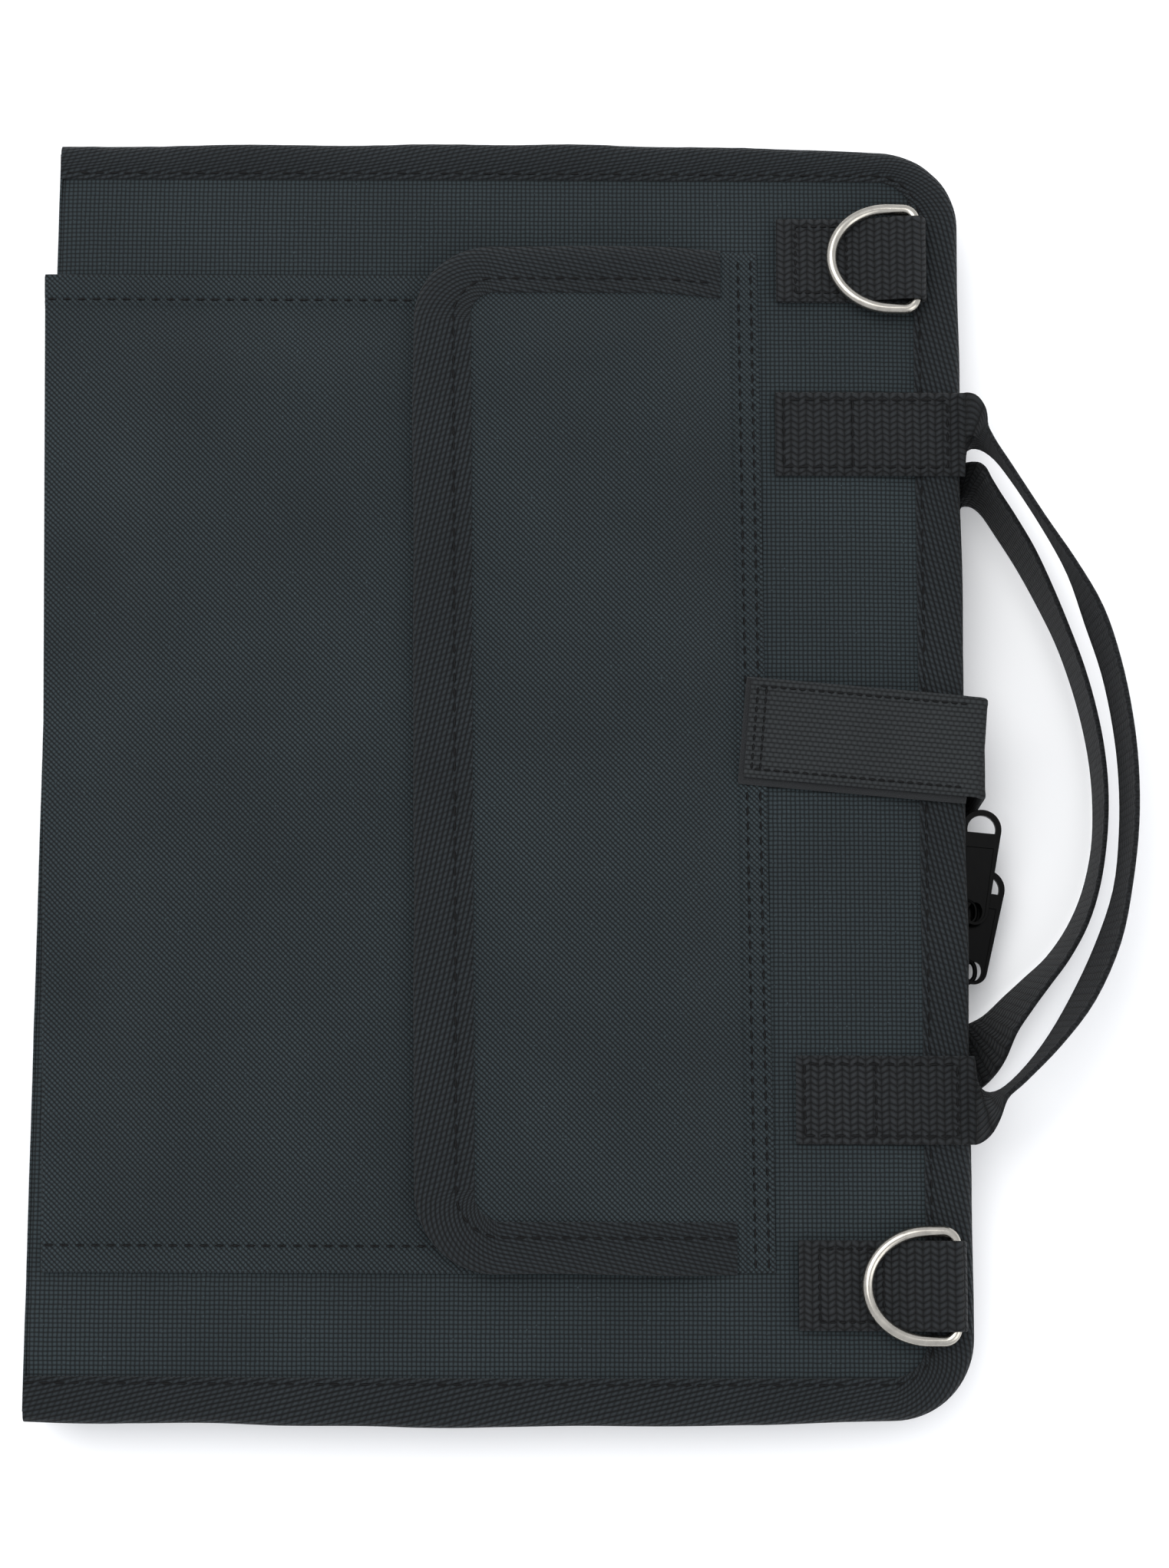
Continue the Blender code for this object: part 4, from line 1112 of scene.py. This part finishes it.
def make_handles():
    """The two carrying handles, standing on edge one inside the other."""
    front = (
        (HANDLE_START, 121.4, FRONT_HANDLE_Z, 90, 0, 1), (167.6, 121.5, 35.25, 86, 20, 0.96),
        (169.4, 121.5, 35.5, 72, 56, 0.92), (171.6, 120.8, 35.9, 46, 86, 0.94), (176, 116.6, 36.3, 33, 98, 1),
        (182.7, 107, 36.8, 31, 101, 1), (194, 88.4, 37.8, 31, 101, 1), (203.6, 71.4, 38.8, 27, 97, 1),
        (211, 53.8, 39.5, 20, 90, 1), (216.6, 35.4, 39.9, 14, 90, 1), (220.2, 16, 40, 7, 90, 1),
        (221.9, -3, 40, 1, 90, 1), (221.6, -23, 40, -4, 90, 1), (219, -43.5, 40, -11, 90, 1),
        (213.2, -64, 39.6, -21, 85, 1), (204, -83.6, 38.8, -30, 84, 1),
        (193, -99.6, 37.8, -39, 88, 1), (181.5, -112, 36.8, -46, 90, 1),
        (174.4, -117.2, 36.1, -55, 85, 0.95), (170.8, -118.7, 35.7, -72, 60, 0.92),
        (168.2, -118.9, 35.3, -86, 24, 0.96), (HANDLE_START, -118.8, FRONT_HANDLE_Z, -90, 0, 1),
    )
    rear = (
        (167, 106.2, 1.4, 90, 4, 0.82), (168.6, 107, 6, 82, 25, 0.74), (170.6, 107.4, 11.2, 66, 52, 0.82),
        (173.4, 105.8, 15, 48, 76, 0.92), (177.2, 101.6, 16.2, 38, 86, 1), (183.4, 92, 16.2, 33, 87, 1),
        (190.6, 79.7, 16.2, 29, 88, 1), (197.2, 66, 16.2, 25, 90, 1), (203.4, 51.5, 16.2, 22, 92, 1),
        (208.6, 36.5, 16.2, 17, 92, 1), (212.6, 21, 16.2, 12, 92, 1), (215.2, 5.5, 16.2, 6, 92, 1),
        (216.1, -10, 16.2, 0, 92, 1), (215.2, -26, 16.2, -7, 92, 1), (212, -42, 16.2, -16, 90, 1),
        (206.8, -55.5, 16.2, -26, 87, 1), (199.6, -67, 16.2, -36, 84, 1), (192, -75.5, 16.2, -42, 80, 1),
        (185, -83.2, 16.2, -43, 76, 1), (178, -91.5, 15.6, -46, 70, 0.98),
        (173.6, -97.4, 12.4, -56, 52, 0.9), (170.4, -101.6, 7.6, -70, 30, 0.8),
        (168.4, -104.2, 3.6, -84, 12, 0.76), (167, -105, 1.3, -90, 2, 0.85),
    )
    handle("front", "front_case", front, (FRONT_TAB_HIGH, FRONT_TAB_LOW), FRONT_HANDLE_Z)
    handle("rear", "back_case", rear, (REAR_TAB_HIGH, REAR_TAB_LOW), REAR_HANDLE_Z)


def make_ring_tabs():
    """Webbing loops that hold the D-rings, each folded back on itself and box stitched."""
    thickness, wire_room = 1.6, 3.15
    half = HANDLE_WIDTH / 2
    low = FRONT_TOP + 0.3 + thickness / 2
    high = low + thickness + 0.15
    for label, (x_start, x_end, y) in RING_TABS.items():
        bar_x = x_end - wire_room - thickness / 2
        path = [(x, low) for x in steps_between(x_start + 1.5, bar_x - 8.0, 5.0)] + [(bar_x, low)]
        for turn in angles(-90.0, 90.0, 12)[1:-1]:
            path.append((bar_x + wire_room * math.cos(turn), low + wire_room * (1 + math.sin(turn))))
        top = low + 2 * wire_room
        path += [(bar_x, top), (bar_x - 5.0, top - 0.3), (bar_x - 10.0, top - 1.6)]
        path += [(bar_x - 16.0, high + 1.6), (bar_x - 21.0, high + 0.2), (bar_x - 24.5, high)]
        path += [(x, high) for x in steps_between(bar_x - 28.0, x_start, 4.0)]
        stations = [(Vector((x, y, z)), Vector((0.0, half, 0.0))) for x, z in smooth_route(path, 2)]
        make_piece(f"ring_loop_{label}", strap_shape(stations, thickness), "heavy", "front_case",
                   f"ring_tab_{label}")
        face = high + thickness / 2 - 0.02
        box = box_line(x_start + 7.0, bar_x - 25.0, y - half + BOX_MARGIN, y + half - BOX_MARGIN, face)
        stitches(f"ring_loop_stitches_{label}", [box], "front_case", **TIGHT_STITCHES)
        make_ring(label, bar_x, low + wire_room, y)


def make_ring(label, bar_x, bar_z, y, radius=2.0, half_height=18.75, depth=31.0, corner=4.5):
    """A bent wire D whose bow leans on the webbing, with the joint of its weld on the bar."""
    outline = []
    straight = corner + 5.0
    for turn in angles(-90.0, 90.0, 40):
        outline.append((straight + (depth - straight) * math.cos(turn), half_height * math.sin(turn)))
    for side in (1.0, -1.0):
        bend = []
        for turn in angles(90.0, 180.0, 8):
            across = half_height - corner * (1 - math.sin(turn))
            bend.append((corner * (1 + math.cos(turn)), side * across))
        outline += bend if side > 0 else bend[::-1]
        if side > 0:
            outline += [(0.0, across) for across in (6.0, 2.2, 1.1, 0.4, -0.4, -1.1, -2.2, -6.0)]
    path = [Vector((bar_x - reach * math.cos(RING_LEAN), y + across, bar_z + reach * math.sin(RING_LEAN)))
            for reach, across in outline]
    radii = [radius * (1.12 if reach == 0.0 and abs(across) < 1.5 else 1.0) for reach, across in outline]
    make_piece(f"ring_{label}_wire", tube(path, radius, 24, True, radii), "nickel", f"ring_{label}",
               f"d_ring_{label}")


def on_strap(reach, side, lift=0.0):
    """A point of the closure strap where it lies over the cover, side being off its middle."""
    return STRAP_CORNER + STRAP_ALONG * reach + STRAP_ACROSS * side + UP * lift


def strap_stations():
    """Stations of the closure strap from under the bag, up its side and over on to the cover."""
    corner = STRAP_CORNER
    half = STRAP_WIDTH / 2
    bend = STRAP_LOW_BEND
    path = [(x, REAR_HANDLE_Z) for x in steps_between(STRAP_SEWN_TO, corner.x - bend - 1.0, 4.0)]
    for turn in angles(0.0, 90.0, 5):
        path.append((corner.x - bend + bend * math.sin(turn), REAR_HANDLE_Z + bend * (1 - math.cos(turn))))
    path += [(corner.x, z) for z in steps_between(9.0, corner.z - STRAP_TOP_BEND, 3.0)]
    stations = []
    for x, z in path:
        unrolled = (corner.z - z) + (corner.x - x)
        place = Vector((x, corner.y - math.tan(STRAP_ANGLE) * unrolled, z))
        stations.append((place, Vector((0.0, -half, 0.0))))
    for turn in angles(15.0, 90.0, 5):
        reach = STRAP_TOP_BEND * (1.0 - math.cos(turn))
        place = on_strap(reach, 0.0, STRAP_TOP_BEND * math.sin(turn) - STRAP_TOP_BEND)
        stations.append((place, -STRAP_ACROSS * half))
    for reach in steps_between(5.0, STRAP_LENGTH, 2.6):
        lift = 0.25 * ripple(reach, 0.0, 14.0, 61.0)
        stations.append((on_strap(reach, 0.0, lift), -STRAP_ACROSS * half))
    return stations


def strap_patch(name, body, node, near, far, half_width, shift, top, thickness):
    """Hook or loop tape that follows the closure strap over the cover."""
    flat = [[(reach, side * half_width) for side in steps_between(-1.0, 1.0, 0.125)]
            for reach in steps_between(near, far, 3.0)]
    grid = []
    for row in flat:
        points = [on_strap(reach, side + shift) for reach, side in row]
        grid.append([Vector((point.x, point.y, top + 0.1 * ripple(point.x, point.y, 5.0, 43.0)))
                     for point in points])
    piece = make_piece(name, sheet_shape(grid, flat, thickness), "fastener", body, node)


def make_strap():
    """The closure strap, its stitches, its hook layer and the loop patch that it closes on."""
    shape = strap_shape(strap_stations(), WEBBING_THICKNESS)
    piece = make_piece("closure_strap_webbing", shape, "webbing", None,
                       "closure_strap", "closure_strap_leg")
    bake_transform(piece)
    face = WEBBING_THICKNESS / 2 - 0.05
    edge = STRAP_WIDTH / 2 - BOX_MARGIN
    reaches = steps_between(7.0, STRAP_LENGTH - BOX_MARGIN, 6.0)
    lines = [[on_strap(reach, side, face) for reach in reaches] for side in (-edge, edge)]
    for from_end in (2.5, 5.5):
        lines.append([on_strap(STRAP_LENGTH - from_end, side, face) for side in (-edge, edge)])
    stitches("closure_strap_stitches", lines, "strap_end", **TIGHT_STITCHES)
    strap_patch("closure_hook_cloth", "strap_end", "closure_hook_patch", near=5.0, far=85.6,
                half_width=19.0, shift=-1.0, top=36.8, thickness=1.1)
    strap_patch("closure_loop_cloth", "front_case", "closure_loop_patch", near=12.0, far=72.0,
                half_width=15.0, shift=0.0, top=35.2, thickness=0.8)


# --- Zip sliders ---

def plate_shape(outline, x_low, x_high, bevel):
    """A plate standing across X, with softened edges; outline holds (y, z)."""
    centre_y = sum(y for y, _ in outline) / len(outline)
    centre_z = sum(z for _, z in outline) / len(outline)
    rings = []
    steps = ((x_low, bevel), (x_low + bevel, 0.0), (x_high - bevel, 0.0),
             (x_high - bevel * 0.3, bevel * 0.5), (x_high, bevel * 1.4))
    for x, inset in steps:
        ring = []
        for y, z in outline:
            way = Vector((y - centre_y, z - centre_z))
            way *= (way.length - inset) / way.length
            ring.append(Vector((x, centre_y + way.x, centre_z + way.y)))
        rings.append(ring)
    return sweep(rings, around(rings[0]), [ring[0].x for ring in rings])


def slider_outline(middle, grow=0.0):
    """The waisted outline of a slider body: broad shoulders ahead and a narrower tail."""
    half_length, shoulder, tail = 6.5 + grow, 6.2 + grow, 4.6 + grow
    outline = []
    for step in range(36):
        turn = 2 * math.pi * step / 36
        y = math.copysign(abs(math.cos(turn)) ** 0.45, math.cos(turn))
        z = math.copysign(abs(math.sin(turn)) ** 0.55, math.sin(turn))
        reach = tail + (shoulder - tail) * ease(y + 1.0, 2.0) - 0.5 * math.exp(-(y / 0.35) ** 2)
        outline.append((middle + half_length * y, ZIP_MIDDLE + reach * z))
    return outline


def make_slider(label, middle, bail_z):
    """A zip slider with its two plates, the post between them and an arched bail."""
    bail_y = middle + BAIL_AHEAD
    arch = (
        (164.6, bail_y + 4.2, bail_z), (167.2, bail_y + 4.1, bail_z), (169.0, bail_y + 2.9, bail_z),
        (BAIL_X + 0.35, bail_y + 1.2, bail_z), (BAIL_X + 0.35, bail_y - 1.2, bail_z),
        (169.0, bail_y - 2.9, bail_z), (167.2, bail_y - 4.1, bail_z), (164.6, bail_y - 4.2, bail_z),
    )
    post = [(middle + 2.4 * math.cos(turn), ZIP_MIDDLE + 0.36 * math.sin(turn))
            for turn in angles(0.0, 330.0, 11)]
    parts = [
        plate_shape(slider_outline(middle), 162.6, 165.2, 0.5),
        plate_shape(slider_outline(middle, -1.2), 165.0, 166.4, 0.5),
        plate_shape(slider_outline(middle, -0.4), 157.4, 158.6, 0.4),
        plate_shape(post, 158.2, 162.8, 0.1),
        tube([Vector(row) for row in smooth_route(arch, 5)], 0.85, 12),
    ]
    make_piece(f"{label}_slider_body", join_shapes(parts), "enamel", f"slider_{label}",
               f"{label}_zip_slider", sharp=35.0)


def carve(piece, cutters):
    """Cut shapes out of a piece for good."""
    for cutter in cutters:
        cut = piece.modifiers.new("cut", "BOOLEAN")
        cut.operation = "DIFFERENCE"
        cut.solver = "EXACT"
        cut.object = cutter
    bevel = piece.modifiers.new("soften", "BEVEL")
    bevel.width = 0.28 * MM
    bevel.segments = 2
    bevel.limit_method = "ANGLE"
    bevel.angle_limit = math.radians(40.0)
    bevel.harden_normals = True
    bake_modifiers(piece)
    for cutter in cutters:
        bpy.data.objects.remove(cutter)


def make_pull(label, middle, bail_z, angle):
    """A tapered zip pull: raised rim, sunk middle, a hole on the bail and a window at the wide end."""
    narrow, wide, reach, thickness = 4.7, 7.2, 30.0, 2.2
    rim, sunk_depth, sunk_to = 1.1, 0.45, 23.0
    along = Vector((math.sin(angle), math.cos(angle), 0.0))
    across = Vector((math.cos(angle), -math.sin(angle), 0.0))
    pivot = Vector((BAIL_X, middle + BAIL_AHEAD, bail_z))
    lean = math.degrees(math.asin((wide - narrow) / reach))

    def prism(name, points, low, high):
        rings = [[pivot + across * x + along * y + UP * z for x, y in points] for z in (low, high)]
        return make_piece(name, sweep(rings, around(rings[0]), (low, high)), "enamel")

    def arc(centre, radius, first, last, steps):
        return [(radius * math.cos(turn), centre + radius * math.sin(turn))
                for turn in angles(first, last, steps)]

    def drop(inset):
        outline = arc(reach, wide - inset, -lean, 180.0 + lean, 28)
        return outline + arc(0.0, narrow - inset, 180.0 + lean, 360.0 - lean, 20)

    half = thickness / 2
    pull = prism(f"{label}_pull_tab", drop(0.0), -half, half)
    window = arc(reach, wide - 2.1, -14.0, 194.0, 26)
    waist = [(x, y) for x, y in drop(rim) if y < sunk_to] + [(-4.9, 23.4), (4.9, 23.4)]
    waist.sort(key=lambda spot: math.atan2(spot[1] - 11.0, spot[0]))
    cutters = [
        prism("hole", [(2.6 * x / 3.0, y * 1.15) for x, y in arc(0.0, 3.0, 0.0, 345.0, 23)], -2.0, 2.0),
        prism("window", window, -2.0, 2.0),
        prism("sunk_above", waist, half - sunk_depth, 3.0),
        prism("sunk_below", waist, -3.0, -half + sunk_depth),
    ]
    carve(pull, cutters)
    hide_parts(f"{label}_zip_pull")
    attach(pull, f"pull_{label}")


def make_sliders():
    """Both sliders with their pulls."""
    for label, (middle, bail_z, angle) in SLIDERS.items():
        make_slider(label, middle, bail_z)
        make_pull(label, middle, bail_z, angle)


# --- Camera, light and stage ---

def make_camera():
    """The viewpoint: nearly straight above the bag, a little below its middle."""
    data = bpy.data.cameras.new("camera")
    data.lens = LENS
    data.sensor_width = SENSOR
    data.clip_end = 20.0
    camera = add_object("camera", data)
    away = Vector((0.0, -math.sin(VIEW_TILT), math.cos(VIEW_TILT))) * VIEW_DISTANCE
    turn = Matrix.Rotation(VIEW_TILT, 4, "X") @ Matrix.Rotation(VIEW_ROLL, 4, "Z")
    camera.matrix_world = Matrix.Translation((VIEW_CENTRE + away) * MM) @ turn
    bpy.context.scene.camera = camera


def add_light(name, place, size, power, colour=(1.0, 1.0, 1.0)):
    """A large soft lamp aimed at the bag."""
    data = bpy.data.lights.new(name, "AREA")
    data.shape = "RECTANGLE"
    data.size, data.size_y = size
    data.energy = power
    data.color = colour
    lamp = add_object(name, data)
    lamp.location = place
    lamp.rotation_euler = (-Vector(place)).to_track_quat("-Z", "Y").to_euler()


def make_studio():
    """A pale floor under soft light from above."""
    scene = bpy.context.scene
    scene.view_settings.view_transform = "Standard"
    world = bpy.data.worlds.new("studio")
    world.use_nodes = True
    set_inputs(world.node_tree.nodes["Background"], {"Color": (0.93, 0.95, 1.0, 1.0), "Strength": 0.86})
    scene.world = world
    add_light("soft_top", (-0.35, 0.45, 1.9), (1.6, 1.6), 26.0)
    add_light("soft_side", (1.5, -0.7, 1.1), (0.9, 1.4), 7.0)
    half = FLOOR_SIZE / 2
    corners = ((-half, -half), (half, -half), (half, half), (-half, half))
    mesh = bpy.data.meshes.new("floor")
    mesh.from_pydata([(x * MM, y * MM, FLOOR_LEVEL * MM) for x, y in corners], [], [(0, 1, 2, 3)])
    floor = add_object("floor", mesh)
    paint = Paint("floor_paint", 0.9)
    set_inputs(paint.shader, {
        "Specular IOR Level": 0.0, "Base Color": (0.93, 0.93, 0.93, 1.0),
        "Emission Color": (1.0, 1.0, 1.0, 1.0), "Emission Strength": 0.1,
    })
    mesh.materials.append(paint.material)


# --- The whole bag ---

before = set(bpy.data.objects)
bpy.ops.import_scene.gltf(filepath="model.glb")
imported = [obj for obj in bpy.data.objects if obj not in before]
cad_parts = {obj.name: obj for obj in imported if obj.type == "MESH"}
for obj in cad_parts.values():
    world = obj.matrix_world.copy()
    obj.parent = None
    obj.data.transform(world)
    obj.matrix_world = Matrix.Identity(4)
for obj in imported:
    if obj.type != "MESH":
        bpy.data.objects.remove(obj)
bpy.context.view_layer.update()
make_camera()
make_studio()
MATERIALS = make_materials()
make_covers()
make_bindings()
make_zip()
make_spine()
make_inside()
make_pocket()
make_flap()
pocket_patch("pocket_loop_cloth", 72.0, 41.2, "front_case", "pocket_loop_patch")
pocket_patch("pocket_hook_cloth", 70.0, 42.1, "flap", "pocket_hook_patch")
make_handles()
make_ring_tabs()
make_strap()
make_sliders()
